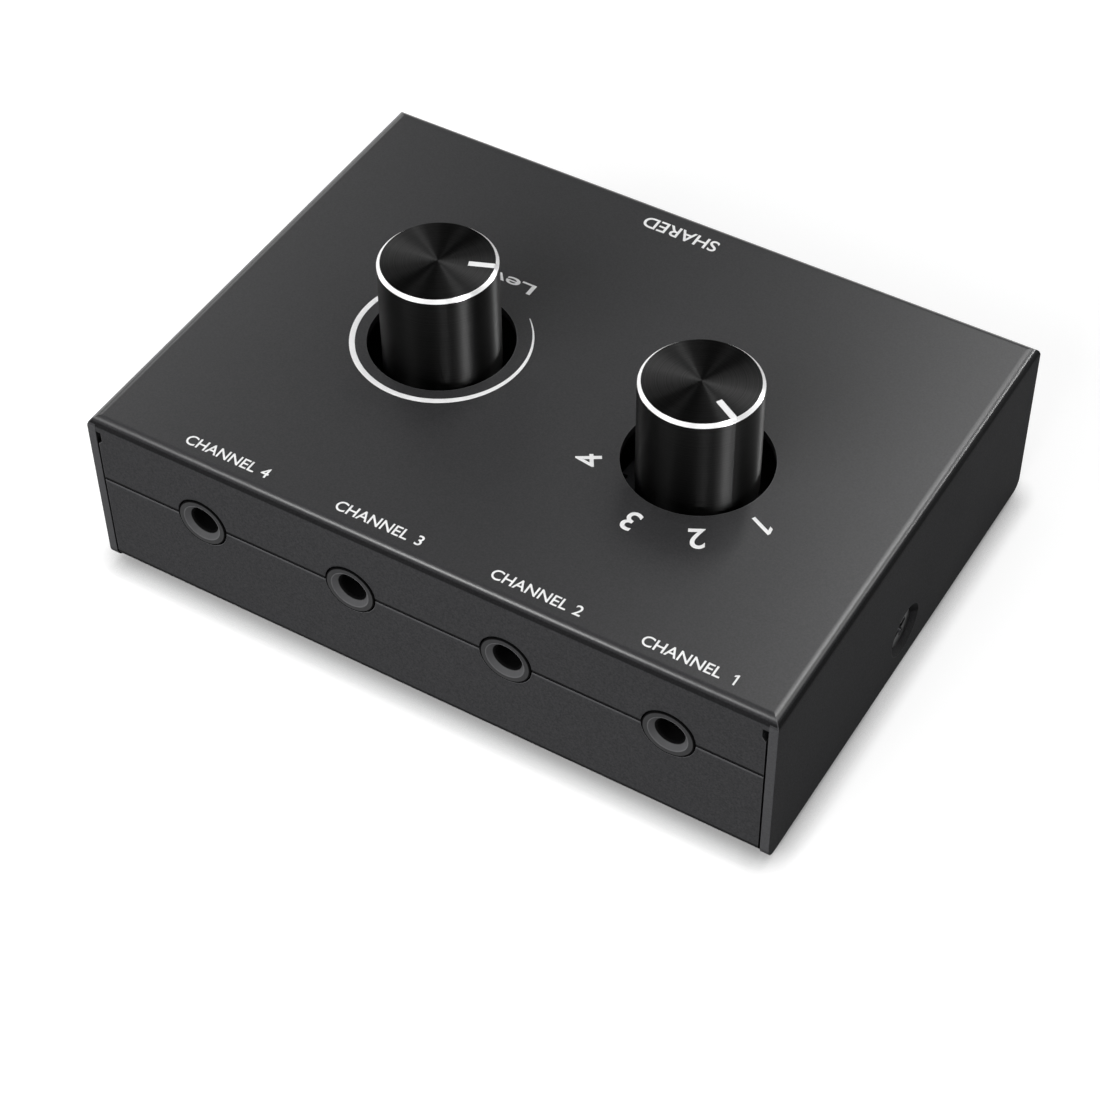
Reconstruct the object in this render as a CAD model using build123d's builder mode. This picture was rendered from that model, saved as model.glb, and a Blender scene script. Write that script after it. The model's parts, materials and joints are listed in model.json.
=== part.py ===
from build123d import *
from math import atan2, cos, degrees, radians, sin, sqrt, tan
import os

os.makedirs("parts", exist_ok=True)

# A desktop switch for small speakers: one stereo signal goes to, or comes from, one of four
# sockets, with a volume control in line. Millimetres, +Z up, the four sockets face -Y, and the
# origin is on the table, midway between the outer faces.

# ------------------------------------------------------------------ driving dimensions
# Folded steel case
case_width = 98.0
case_depth = 72.4
case_height = 25.5
sheet = 1.2
bend_inside = 0.3
seam_height = 15.2  # seam between cover and tray, above the case's lower edge
seam_gap = 0.2
side_gap = 0.25  # from the flaps and the tray to the cover's side walls
tray_lift = 0.4  # tray's underside above the lower edge of the side walls
side_corner = 1.6  # rounding of the side walls' lower corners
relief_width = 0.8  # bend relief at each end of a flap
relief_height = 2.0
relief_corner = 0.5  # cut off the relief's lower corner, on the flap's side
relief_drop = 1.9
knob_hole_radius = 9.7

# Feet
foot_radius = 4.5
foot_height = 1.6
foot_inset = 10.0  # foot's middle from the case's sides

# Side screws, M3 countersunk, in a pressed dimple of the cover
screw_height = 6.0  # axis above the case's lower edge
screw_radius = 1.5
screw_length = 6.0
screw_head_radius = 2.9
screw_play = 0.05
dimple_radius = 3.75
dimple_proud = 1.3
dimple_clearance = 0.07

# Ears of the tray that the side screws bite into
ear_width = 14.0
ear_above_screw = 3.4
ear_gap = 0.15
ear_relief = 1.0
ear_corner = 1.5
collar_radius = 2.2
collar_length = 1.2

# Circuit board and its standoffs
board_side_gap = 5.0  # board's edge to the case's side
board_edge_gap = 0.4  # board's edge behind the face of a socket's body
board_thickness = 1.6
board_corner = 1.5
standoff_inset = 11.0  # pillar's middle from the case's side
standoff_y = 4.0
standoff_across_flats = 5.0
board_nut_across_flats = 5.5
board_nut_height = 2.4
drill_play = 0.15

# 3.5 mm sockets
jack_count = 4
jack_left_margin = 16.75  # from the case's left side to the first bore's axis
jack_right_margin = 14.05
common_jack_x = 0.0
jack_rise = 5.0  # bore's axis above the board
jack_gap = 0.3  # body behind the sheet
jack_width = 9.6
jack_top = 4.8  # body's top above the bore's axis
jack_depth = 13.4
jack_edge = 0.6
nozzle_radius = 3.5
nozzle_proud = 0.15
nozzle_gap = 0.2
bore_radius = 1.85
bore_depth = 14.0
entry_chamfer = 0.85

# Springs inside a socket; depths are measured inwards from the case's face
spring_thickness = 0.3
spring_height = 1.4
spring_play = 0.2  # from a spring to the socket's body round it
spring_rest = 0.25  # from a pressed spring to the bore
channel_wall = 0.9  # left between a spring's channel and the bore
spring_outset = 3.9
tail_width = 1.0
tail_below_board = 0.8
ring_tail_depth = 12.0
ring_bump_depth = 7.2
tip_tail_depth = 5.6
tip_bump_depth = 11.4
bump_half_length = 1.3
sleeve_depth = 3.6
sleeve_width = 1.6
sleeve_foot = 1.4

# Controls: places of the two shafts, and the way each pointer looks at rest
volume_x = -18.2
volume_y = -1.4
volume_rest_angle = 22.0
volume_turn_down = 252.0
volume_turn_up = 28.0
selector_x = 20.8
selector_y = -3.8
selector_rest_angle = -30.0
detent_pitch = 40.0
detent_count = 4

# Knobs
knob_radius = 7.8
knob_height = 17.0
knob_rise = 13.3  # top above the case's top
knob_crown = 1.6  # metal left above the insert
knob_chamfer = 0.55
pointer_start = 3.9
pointer_width = 0.9
pointer_depth = 0.4
pointer_play = 0.02
insert_play = 0.05
insert_recess = 3.2  # insert's lower face above the knob's lower edge
insert_radius = 4.6

# Shafts and bushings, the same on both controls
shaft_radius = 3.0
shaft_play = 0.05
shaft_top_gap = 1.3  # shaft's end under the insert's top
shaft_flat = 1.5  # flat's distance from the axis
shaft_flat_length = 11.2
bushing_radius = 3.5
bushing_top_gap = 0.8  # bushing's top under the knob's insert
mount_plate = 1.0
claw_thickness = 0.8
claw_width = 3.0
claw_gap = 0.05
claw_floor = 0.3
stem_radius = 2.0  # lower part of each shaft, with a flat
stem_flat = 1.4

# Volume control
pot_width = 11.6
pot_base_height = 3.2
pot_floor = 1.0
pot_wall = 1.1  # round the square chamber that each wiper turns in
track_thickness = 1.0
track_hole = 4.8  # width of the square hole round the stem
pot_spacer_height = 2.8
lower_tongue = 1.8
upper_tongue = 3.8
tongue_width = 9.0
pin_width = 0.8
pin_thickness = 0.4
pin_head_width = 1.4
pin_head_height = 0.3
pin_pitch = 3.0
pin_inset = 0.9  # pin's axis behind the end of its tongue
wiper_wall = 0.45  # left beside the stem
wiper_play = 0.1  # from a turning corner to the chamber
wiper_thickness = 0.8
wiper_gap = 0.25
volume_stop_play = 2.0
volume_stop_height = 0.7

# Selector switch
switch_width = 18.0
switch_base_height = 2.4
switch_housing_height = 5.6
crest_radius = 7.6
valley_depth = 0.5
valley_width = 2.0
valley_floor_width = 0.8
rotor_radius = 7.3
rotor_lift = 0.8
rotor_thickness = 3.4
contact_inner_ring = 4.2
contact_outer_ring = 6.3
contact_width = 1.2
contact_head_height = 0.2
common_overhang = 8.0  # degrees that a common strip runs on past its last position
bridge_width = 1.2
bridge_thickness = 0.25
bridge_foot = 0.8
plunger_width = 2.0
plunger_length = 2.4
plunger_nose = 0.6
plunger_play = 0.06
plunger_crest_gap = 0.05
pocket_start = 3.2
detent_strip_thickness = 0.2
detent_strip_width = 1.2
detent_strip_reach = 0.5
selector_stop_ring = 5.4
selector_stop_width = 1.8
selector_stop_play = 1.5
selector_stop_height = 1.0

# ------------------------------------------------------------------ places worked out from them
bend_outside = bend_inside + sheet
case_base = foot_height - tray_lift
case_top = case_base + case_height
wall_inside = case_width / 2 - sheet
flap_inside = case_depth / 2 - sheet
tray_under = foot_height
tray_floor = tray_under + sheet
jack_z = case_base + seam_height
screw_z = case_base + screw_height
ear_outside = wall_inside - dimple_proud - ear_gap
ear_inside = ear_outside - sheet
ear_top = screw_z + ear_above_screw
board_top = jack_z - jack_rise
board_under = board_top - board_thickness
jack_front = sheet + jack_gap
board_width = case_width - 2 * board_side_gap
board_depth = case_depth - 2 * (jack_front + board_edge_gap)
jack_pitch = (case_width - jack_left_margin - jack_right_margin) / (jack_count - 1)
first_jack_x = jack_left_margin - case_width / 2
jack_places = [first_jack_x + index * jack_pitch for index in range(jack_count)]
knob_bottom = case_top + knob_rise - knob_height
insert_bottom = knob_bottom + insert_recess
insert_top = knob_bottom + knob_height - knob_crown
shaft_top = insert_top - shaft_top_gap

volume_plane = Plane(origin=(volume_x, volume_y, board_top))
selector_plane = Plane(origin=(selector_x, selector_y, board_top))


def turned(plane, angle):
    """The same plane, with its x axis turned about its normal."""
    return plane.rotated((0, 0, angle))


# ------------------------------------------------------------------ folded steel case
# The cover is the top plate with full side walls and short front and rear flaps. The flaps and
# the tray's walls meet on the axes of the sockets, so each has half of every round notch.
side_planes = [
    Plane(origin=(side * case_width / 2, 0, screw_z), x_dir=(0, side, 0), z_dir=(side, 0, 0))
    for side in (-1, 1)
]

with BuildPart() as top_cover:
    with BuildSketch(Plane.XY.offset(case_base)):
        Rectangle(case_width, case_depth)
    extrude(amount=case_height)
    fillet(top_cover.faces().sort_by(Axis.Z)[-1].edges(), bend_outside)
    with BuildSketch(Plane.XY.offset(case_base)):
        Rectangle(2 * wall_inside, 2 * flap_inside)
    extrude(amount=case_height - sheet, mode=Mode.SUBTRACT)
    ceiling = top_cover.faces().filter_by(Axis.Z).sort_by(Axis.Z)[-2]
    chamfer(ceiling.edges(), bend_inside)
    with BuildSketch(Plane.XY.offset(case_base)):
        Rectangle(2 * wall_inside, case_depth)
    extrude(amount=seam_height + seam_gap / 2, mode=Mode.SUBTRACT)
    fillet(top_cover.edges().filter_by(Axis.X).group_by(Axis.Z)[0], side_corner)
    # Slit and bend relief between each flap and the side walls
    with BuildSketch(Plane.XZ):
        slit_height = case_height - relief_drop - seam_height
        with Locations((wall_inside - side_gap / 2, jack_z + slit_height / 2)):
            Rectangle(side_gap, slit_height)
        relief_z = case_top - relief_drop - relief_height / 2
        with BuildSketch() as relief:
            with Locations((wall_inside - relief_width / 2, relief_z)):
                Rectangle(relief_width, relief_height)
            chamfer(relief.vertices().group_by(Axis.X)[0].sort_by(Axis.Y)[0], relief_corner)
        mirror(about=Plane.YZ)
    extrude(amount=case_depth, both=True, mode=Mode.SUBTRACT)
    # Upper halves of the round notches
    with BuildSketch(Plane.XZ):
        with Locations(*[(x, jack_z) for x in jack_places]):
            Circle(nozzle_radius + nozzle_gap)
    extrude(amount=case_depth, mode=Mode.SUBTRACT)
    with BuildSketch(Plane.XZ):
        with Locations((common_jack_x, jack_z)):
            Circle(nozzle_radius + nozzle_gap)
    extrude(amount=-case_depth, mode=Mode.SUBTRACT)
    # Round holes that the knobs sink into
    with BuildSketch(Plane.XY.offset(case_top)):
        with Locations((volume_x, volume_y), (selector_x, selector_y)):
            Circle(knob_hole_radius)
    extrude(amount=-2 * sheet, mode=Mode.SUBTRACT)
    # Pressed dimples for the side screws
    for side_plane in side_planes:
        with BuildSketch(side_plane.offset(-sheet)):
            Circle(dimple_radius)
        extrude(amount=-dimple_proud)
        with Locations(side_plane):
            CounterSinkHole(
                screw_radius + drill_play,
                dimple_radius,
                depth=2 * screw_length,
                counter_sink_angle=90,
            )
top_cover.part.label = "top_cover"
export_step(top_cover.part, "parts/top_cover.step")

with BuildPart() as bottom_tray:
    tray_top = jack_z - seam_gap / 2
    with BuildSketch(Plane.YZ) as tray_profile:
        with Locations((0, (tray_under + tray_top) / 2)):
            Rectangle(case_depth, tray_top - tray_under)
        fillet(tray_profile.vertices().group_by(Axis.Y)[0], bend_outside)
        with BuildSketch(mode=Mode.SUBTRACT) as tray_hollow:
            with Locations((0, (tray_floor + tray_top) / 2)):
                Rectangle(2 * flap_inside, tray_top - tray_floor)
            fillet(tray_hollow.vertices().group_by(Axis.Y)[0], bend_inside)
    extrude(amount=wall_inside - side_gap, both=True)
    # Ears bent up from the floor, clear of the dimples
    ear_root = ear_inside - bend_outside
    with BuildSketch(Plane.XY.offset(tray_under)):
        Rectangle(case_width, ear_width + 2 * ear_relief)
        Rectangle(2 * ear_root, ear_width + 2 * ear_relief, mode=Mode.SUBTRACT)
    extrude(amount=sheet, mode=Mode.SUBTRACT)
    with BuildSketch(Plane.XZ) as ear_profile:
        with Locations(((ear_root - bend_outside + ear_outside) / 2, (tray_under + ear_top) / 2)):
            Rectangle(ear_outside - ear_root + bend_outside, ear_top - tray_under)
        fillet(ear_profile.vertices().group_by(Axis.Y)[0].sort_by(Axis.X)[-1], bend_outside)
        with BuildSketch(mode=Mode.SUBTRACT) as ear_hollow:
            with Locations(((ear_root - bend_outside + ear_inside) / 2, (tray_floor + ear_top) / 2)):
                Rectangle(ear_inside - ear_root + bend_outside, ear_top - tray_floor)
            fillet(ear_hollow.vertices().group_by(Axis.Y)[0].sort_by(Axis.X)[-1], bend_inside)
        mirror(about=Plane.YZ)
    extrude(amount=ear_width / 2, both=True)
    ear_tips = bottom_tray.edges().filter_by(Axis.X).filter_by(
        lambda edge: abs(edge.center().Z - ear_top) < sheet / 2 and abs(edge.center().Y) < ear_width
    )
    chamfer(ear_tips, ear_corner)
    for side in (-1, 1):
        with BuildSketch(Plane.YZ.offset(side * ear_inside)):
            with Locations((0, screw_z)):
                Circle(collar_radius)
        extrude(amount=-side * collar_length)
    with BuildSketch(Plane.YZ):
        with Locations((0, screw_z)):
            Circle(screw_radius + screw_play)
    extrude(amount=case_width, both=True, mode=Mode.SUBTRACT)
    # Lower halves of the round notches
    with BuildSketch(Plane.XZ):
        with Locations(*[(x, jack_z) for x in jack_places]):
            Circle(nozzle_radius + nozzle_gap)
    extrude(amount=case_depth, mode=Mode.SUBTRACT)
    with BuildSketch(Plane.XZ):
        with Locations((common_jack_x, jack_z)):
            Circle(nozzle_radius + nozzle_gap)
    extrude(amount=-case_depth, mode=Mode.SUBTRACT)
bottom_tray.part.label = "bottom_tray"
export_step(bottom_tray.part, "parts/bottom_tray.step")

# Each head's cone lies in its dimple, so the head's face is a little below the wall
head_drop = dimple_radius - screw_head_radius - dimple_clearance
with BuildPart() as side_screws:
    for side_plane in side_planes:
        with BuildSketch(side_plane.offset(-head_drop)):
            Circle(screw_radius)
        extrude(amount=-screw_length)
        with Locations(side_plane.offset(-head_drop)):
            Cone(
                screw_radius,
                screw_head_radius,
                screw_head_radius - screw_radius,
                align=(Align.CENTER, Align.CENTER, Align.MAX),
            )
side_screws.part.label = "side_screws"
export_step(side_screws.part, "parts/side_screws.step")

with BuildPart() as rubber_feet:
    with BuildSketch(Plane.XY.offset(foot_height)):
        with GridLocations(case_width - 2 * foot_inset, case_depth - 2 * foot_inset, 2, 2):
            Circle(foot_radius)
    extrude(amount=-foot_height)
rubber_feet.part.label = "rubber_feet"
export_step(rubber_feet.part, "parts/rubber_feet.step")

# ------------------------------------------------------------------ standoffs
# Hexagonal pillars on the tray, each with a stud through the board and the nut that holds it
standoff_points = [(side * (case_width / 2 - standoff_inset), standoff_y) for side in (-1, 1)]

with BuildPart() as board_standoffs:
    with BuildSketch(Plane.XY.offset(tray_floor)):
        with Locations(*standoff_points):
            RegularPolygon(standoff_across_flats / 2, 6, major_radius=False)
    extrude(amount=board_under - tray_floor)
    with BuildSketch(Plane.XY.offset(board_under)):
        with Locations(*standoff_points):
            Circle(screw_radius)
    extrude(amount=board_thickness)
    with BuildSketch(Plane.XY.offset(board_top)):
        with Locations(*standoff_points):
            RegularPolygon(board_nut_across_flats / 2, 6, major_radius=False)
    extrude(amount=board_nut_height)
board_standoffs.part.label = "board_standoffs"
export_step(board_standoffs.part, "parts/board_standoffs.step")


# ------------------------------------------------------------------ 3.5 mm sockets
def face_view(x, side):
    """Plane on the case's face at a socket: x to the viewer's right, y up, z out of the case."""
    return Plane(origin=(x, side * case_depth / 2, jack_z), x_dir=(-side, 0, 0), z_dir=(0, side, 0))


def plan_view(face):
    """Plane through the bore's axis, seen from above: x as on the face, y inwards."""
    return Plane(origin=face.origin, x_dir=face.x_dir, z_dir=(0, 0, 1))


def side_view(face):
    """Plane through the bore's axis, seen from the side: x inwards, y up."""
    return Plane(origin=face.origin, x_dir=-face.z_dir, z_dir=face.x_dir)


channel_inside = bore_radius + channel_wall
channel_half_height = spring_height / 2 + spring_play
tail_bottom = -(jack_rise + board_thickness + tail_below_board)
jack_faces = {
    f"jack_{jack_count - index}": face_view(x, -1) for index, x in enumerate(jack_places)
}
jack_faces["common_jack"] = face_view(common_jack_x, 1)


def cut_spring_channel(face, hand, tail_depth, bump_depth):
    """Channel in one flank of the socket's body, its way down, and its window to the bore."""
    inwards = 1 if bump_depth > tail_depth else -1
    near_end = tail_depth - inwards * (tail_width / 2 + spring_play)
    far_end = bump_depth + inwards * (bump_half_length + spring_play)
    with BuildSketch(side_view(face).offset(hand * channel_inside)) as channel:
        with Locations(((near_end + far_end) / 2, 0)):
            Rectangle(abs(far_end - near_end), 2 * channel_half_height)
        with Locations((tail_depth, -jack_rise / 2)):
            Rectangle(tail_width + 2 * spring_play, jack_rise)
    extrude(channel.sketch, amount=hand * jack_width, mode=Mode.SUBTRACT)
    with BuildSketch(side_view(face)) as window:
        with Locations((bump_depth, 0)):
            Rectangle(2 * bump_half_length - 2 * spring_play, spring_height)
    extrude(window.sketch, amount=hand * jack_width / 2, mode=Mode.SUBTRACT)


def make_housing(label, face):
    """Moulded body with the nozzle that fills the notch of the case."""
    with BuildPart() as housing:
        with BuildSketch(face.offset(-jack_front)):
            with Locations((0, (jack_top - jack_rise) / 2)):
                Rectangle(jack_width, jack_top + jack_rise)
        extrude(amount=-jack_depth)
        top_edges = housing.edges().filter_by(Axis.Y).group_by(Axis.Z)[-1]
        chamfer(top_edges, jack_edge)
        with BuildSketch(face.offset(-jack_front)):
            Circle(nozzle_radius)
        extrude(amount=jack_front + nozzle_proud)
        way_out = Axis(face.origin, face.z_dir)
        with BuildSketch(face.offset(nozzle_proud)):
            Circle(bore_radius)
        extrude(amount=-bore_depth, mode=Mode.SUBTRACT)
        mouth = housing.faces().sort_by(way_out)[-1].edges().sort_by(SortBy.RADIUS)[0]
        chamfer(mouth, entry_chamfer)
        cut_spring_channel(face, -1, ring_tail_depth, ring_bump_depth)
        cut_spring_channel(face, 1, tip_tail_depth, tip_bump_depth)
        # Way up for the sleeve spring, from the board to the bore
        with BuildSketch(plan_view(face).offset(-jack_rise)):
            with Locations((0, sleeve_depth)):
                Rectangle(sleeve_width + 2 * spring_play, sleeve_foot + 2 * spring_play)
        extrude(amount=jack_rise - bore_radius / 2, mode=Mode.SUBTRACT)
    housing.part.label = label + "_housing"
    export_step(housing.part, f"parts/{label}_housing.step")


def make_flank_spring(label, face, hand, tail_depth, bump_depth):
    """Leaf spring with a bump towards the bore, and its solder tail."""
    inwards = 1 if bump_depth > tail_depth else -1
    bump_x = bore_radius + spring_rest + spring_thickness / 2
    with BuildPart() as spring:
        with BuildSketch(plan_view(face).offset(-spring_height / 2)):
            with BuildLine():
                Polyline(
                    (hand * spring_outset, tail_depth),
                    (hand * spring_outset, bump_depth - inwards * bump_half_length),
                    (hand * bump_x, bump_depth),
                    (hand * (channel_inside + spring_thickness), bump_depth + inwards),
                )
            trace(line_width=spring_thickness)
        extrude(amount=spring_height)
        with BuildSketch(plan_view(face).offset(tail_bottom)):
            with Locations((hand * spring_outset, tail_depth)):
                Rectangle(spring_thickness, tail_width)
        extrude(amount=spring_height / 2 - tail_bottom)
    spring.part.label = label
    export_step(spring.part, f"parts/{label}.step")


def make_sleeve_spring(label, face):
    """Angle that stands up under the bore's mouth."""
    with BuildPart() as spring:
        with BuildSketch(side_view(face).offset(-sleeve_width / 2)):
            with BuildLine():
                back = sleeve_depth + sleeve_foot / 2 - spring_thickness / 2
                front = sleeve_depth - sleeve_foot / 2
                crest = -(bore_radius + spring_rest + spring_thickness / 2)
                Polyline((back, tail_bottom), (back, crest), (front, crest))
            trace(line_width=spring_thickness)
        extrude(amount=sleeve_width)
        # Below the body the strip narrows to a solder tail
        with BuildSketch(plan_view(face).offset(tail_bottom)):
            with Locations((0, sleeve_depth)):
                Rectangle(2 * sleeve_width, 2 * sleeve_foot)
                Rectangle(tail_width, 2 * sleeve_foot, mode=Mode.SUBTRACT)
        extrude(amount=-tail_bottom - jack_rise, mode=Mode.SUBTRACT)
    spring.part.label = label
    export_step(spring.part, f"parts/{label}.step")


flank_tails = []
sleeve_tails = []
for jack_name, jack_face in jack_faces.items():
    make_housing(jack_name, jack_face)
    make_sleeve_spring(jack_name + "_sleeve_spring", jack_face)
    make_flank_spring(jack_name + "_ring_spring", jack_face, -1, ring_tail_depth, ring_bump_depth)
    make_flank_spring(jack_name + "_tip_spring", jack_face, 1, tip_tail_depth, tip_bump_depth)
    sleeve_tail_depth = sleeve_depth + sleeve_foot / 2 - spring_thickness / 2
    jack_plan = plan_view(jack_face)
    flank_tails.append(jack_plan.from_local_coords((-spring_outset, ring_tail_depth, 0)))
    flank_tails.append(jack_plan.from_local_coords((spring_outset, tip_tail_depth, 0)))
    sleeve_tails.append(jack_plan.from_local_coords((0, sleeve_tail_depth, 0)))


# ------------------------------------------------------------------ shafts, shared by both controls
def flatted_outline(radius, flat, play):
    """Round with one flat: a driving shaft, or, with some play, the bore that it fits."""
    Circle(radius + play)
    with Locations((flat + play + radius, 0)):
        Rectangle(2 * radius, 2 * radius + 2 * play, mode=Mode.SUBTRACT)


def make_shaft(label, plane, shoulder_z, foot_z):
    """Flatted at the top, round in the bushing, with a thinner flatted stem below."""
    axis_plane = Plane(origin=(plane.origin.X, plane.origin.Y, 0), x_dir=plane.x_dir, z_dir=(0, 0, 1))
    with BuildPart() as shaft:
        with BuildSketch(axis_plane.offset(foot_z)):
            flatted_outline(stem_radius, stem_flat, 0)
        extrude(amount=shoulder_z - foot_z)
        with BuildSketch(axis_plane.offset(shoulder_z)):
            Circle(shaft_radius)
        extrude(amount=shaft_top - shaft_flat_length - shoulder_z)
        with BuildSketch(axis_plane.offset(shaft_top - shaft_flat_length)):
            flatted_outline(shaft_radius, shaft_flat, 0)
        extrude(amount=shaft_flat_length)
    shaft.part.label = label
    export_step(shaft.part, f"parts/{label}.step")


def make_frame(label, plane, width, height, stop_planes):
    """Plate with the bushing on top, a claw down each side, and the stops that hang from it."""
    claw_centre = width / 2 + claw_gap + claw_thickness / 2
    with BuildPart() as frame:
        with BuildSketch(plane.offset(height)):
            Rectangle(width, width)
            Rectangle(2 * claw_centre + claw_thickness, claw_width)
        extrude(amount=mount_plate)
        with BuildSketch(plane.offset(claw_floor)):
            with Locations((claw_centre, 0), (-claw_centre, 0)):
                Rectangle(claw_thickness, claw_width)
        extrude(amount=height - claw_floor)
        for stop_plane in stop_planes:
            with BuildSketch(stop_plane.offset(height)):
                with Locations((selector_stop_ring, 0)):
                    Rectangle(selector_stop_width, selector_stop_width)
            extrude(amount=-selector_stop_height)
        with BuildSketch(plane.offset(height + mount_plate)):
            Circle(bushing_radius)
        bushing_length = insert_bottom - bushing_top_gap - board_top - height - mount_plate
        extrude(amount=bushing_length)
        with BuildSketch(plane.offset(height)):
            Circle(shaft_radius + shaft_play)
        extrude(amount=mount_plate + bushing_length, mode=Mode.SUBTRACT)
    frame.part.label = label
    export_step(frame.part, f"parts/{label}.step")


def pin_outline(play, mode):
    """Section of a stamped solder pin, or, with some play, the slot that it passes."""
    Rectangle(pin_width + 2 * play, pin_thickness + 2 * play, mode=mode)


def stem_bore():
    """Hole that a flatted stem drives."""
    Circle(stem_radius + shaft_play, mode=Mode.SUBTRACT)
    with Locations((stem_flat + shaft_play + stem_radius / 2, 0)):
        Rectangle(stem_radius, 2 * stem_radius)


# ------------------------------------------------------------------ volume control
volume_turn = turned(volume_plane, volume_rest_angle)
lower_track_z = pot_base_height
spacer_z = lower_track_z + track_thickness
upper_track_z = spacer_z + pot_spacer_height
frame_z = upper_track_z + track_thickness
pot_front = -pot_width / 2
pot_pocket = pot_width - 2 * pot_wall
wiper_width = 2 * (stem_radius + wiper_wall)
wiper_length = 2 * sqrt((pot_pocket / 2 - wiper_play) ** 2 - (wiper_width / 2) ** 2)
volume_stop_ring = (stem_radius + wiper_length / 2) / 2
dead_zone = 360 - volume_turn_down - volume_turn_up
stop_post_angle = volume_rest_angle + volume_turn_up + dead_zone / 2
stop_slope = tan(radians((dead_zone / 2 - volume_stop_play) / 2))
volume_stop_width = 2 * volume_stop_ring * stop_slope / (1 + stop_slope)
lower_wiper_z = lower_track_z - wiper_gap - wiper_thickness
upper_wiper_z = upper_track_z - wiper_gap - wiper_thickness

with BuildPart() as volume_pot_base:
    with BuildSketch(volume_plane):
        Rectangle(pot_width, pot_width)
    extrude(amount=pot_base_height)
    with BuildSketch(volume_plane.offset(pot_floor)):
        Rectangle(pot_pocket, pot_pocket)
    extrude(amount=pot_base_height, mode=Mode.SUBTRACT)
    with BuildSketch(turned(volume_plane, stop_post_angle).offset(pot_floor)):
        with Locations((volume_stop_ring, 0)):
            Rectangle(volume_stop_width, volume_stop_width)
    extrude(amount=volume_stop_height)
volume_pot_base.part.label = "volume_pot_base"
export_step(volume_pot_base.part, "parts/volume_pot_base.step")


def make_track(label, height, tongue):
    """Resistance track on its wafer, with a tongue for three pins."""
    with BuildPart() as track:
        with BuildSketch(volume_plane.offset(height)):
            Rectangle(pot_width, pot_width)
            with Locations((0, pot_front - tongue / 2)):
                Rectangle(tongue_width, tongue)
            Rectangle(track_hole, track_hole, mode=Mode.SUBTRACT)
            with Locations((0, pot_front - tongue + pin_inset)):
                with GridLocations(pin_pitch, 1, 3, 1):
                    pin_outline(shaft_play, Mode.SUBTRACT)
        extrude(amount=track_thickness)
    track.part.label = label
    export_step(track.part, f"parts/{label}.step")


make_track("volume_lower_track", lower_track_z, lower_tongue)
make_track("volume_upper_track", upper_track_z, upper_tongue)

with BuildPart() as volume_pot_spacer:
    with BuildSketch(volume_plane.offset(spacer_z)):
        Rectangle(pot_width, pot_width)
        Rectangle(pot_pocket, pot_pocket, mode=Mode.SUBTRACT)
    extrude(amount=pot_spacer_height)
volume_pot_spacer.part.label = "volume_pot_spacer"
export_step(volume_pot_spacer.part, "parts/volume_pot_spacer.step")

with BuildPart() as volume_pot_pins:
    for height, tongue in ((lower_track_z, lower_tongue), (upper_track_z, upper_tongue)):
        with BuildSketch(volume_plane.offset(-board_thickness - tail_below_board)):
            with Locations((0, pot_front - tongue + pin_inset)):
                with GridLocations(pin_pitch, 1, 3, 1):
                    pin_outline(0, Mode.ADD)
        extrude(amount=board_thickness + tail_below_board + height + track_thickness)
        with BuildSketch(volume_plane.offset(height + track_thickness)):
            with Locations((0, pot_front - tongue + pin_inset)):
                with GridLocations(pin_pitch, 1, 3, 1):
                    Rectangle(pin_head_width, pin_thickness + pin_head_width - pin_width)
        extrude(amount=pin_head_height)
volume_pot_pins.part.label = "volume_pot_pins"
export_step(volume_pot_pins.part, "parts/volume_pot_pins.step")

make_frame("volume_pot_frame", volume_plane, pot_width, frame_z, [])

with BuildPart() as volume_lower_wiper:
    with BuildSketch(volume_turn.offset(lower_wiper_z)):
        Rectangle(wiper_length, wiper_width)
        stem_bore()
    extrude(amount=wiper_thickness)
    with BuildSketch(volume_turn.offset(lower_wiper_z)):
        with Locations((volume_stop_ring, 0)):
            Rectangle(volume_stop_width, volume_stop_width)
    extrude(amount=-volume_stop_height)
volume_lower_wiper.part.label = "volume_lower_wiper"
export_step(volume_lower_wiper.part, "parts/volume_lower_wiper.step")

with BuildPart() as volume_upper_wiper:
    with BuildSketch(volume_turn.offset(upper_wiper_z)):
        Rectangle(wiper_length, wiper_width)
        stem_bore()
    extrude(amount=wiper_thickness)
volume_upper_wiper.part.label = "volume_upper_wiper"
export_step(volume_upper_wiper.part, "parts/volume_upper_wiper.step")

make_shaft(
    "volume_shaft",
    volume_turn,
    board_top + frame_z + shaft_play,
    board_top + pot_floor + shaft_play,
)

# ------------------------------------------------------------------ selector switch
# Each pole has four contacts on the outer ring and one common strip on the inner ring; the second
# pole is the first turned half round.
selector_turn = turned(selector_plane, selector_rest_angle)
switch_frame_z = switch_base_height + switch_housing_height
rotor_z = switch_base_height + rotor_lift
rotor_top_z = rotor_z + rotor_thickness
plunger_z = rotor_z + rotor_thickness / 2
plunger_tip = crest_radius - plunger_crest_gap
plunger_middle = plunger_tip - plunger_length / 2
selector_travel = (detent_count - 1) * detent_pitch
contact_angles = [selector_rest_angle - index * detent_pitch for index in range(detent_count)]
common_angle = selector_rest_angle - selector_travel / 2
selector_stop_inside = selector_stop_ring - selector_stop_width / 2
selector_stop_angle = (
    2 * degrees(atan2(selector_stop_width / 2, selector_stop_inside)) + selector_stop_play
)


def contact_points():
    """Places of the fixed contacts, one for each position of each pole."""
    return [
        (contact_outer_ring * cos(radians(angle + half)), contact_outer_ring * sin(radians(angle + half)))
        for angle in contact_angles
        for half in (0, 180)
    ]


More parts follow.
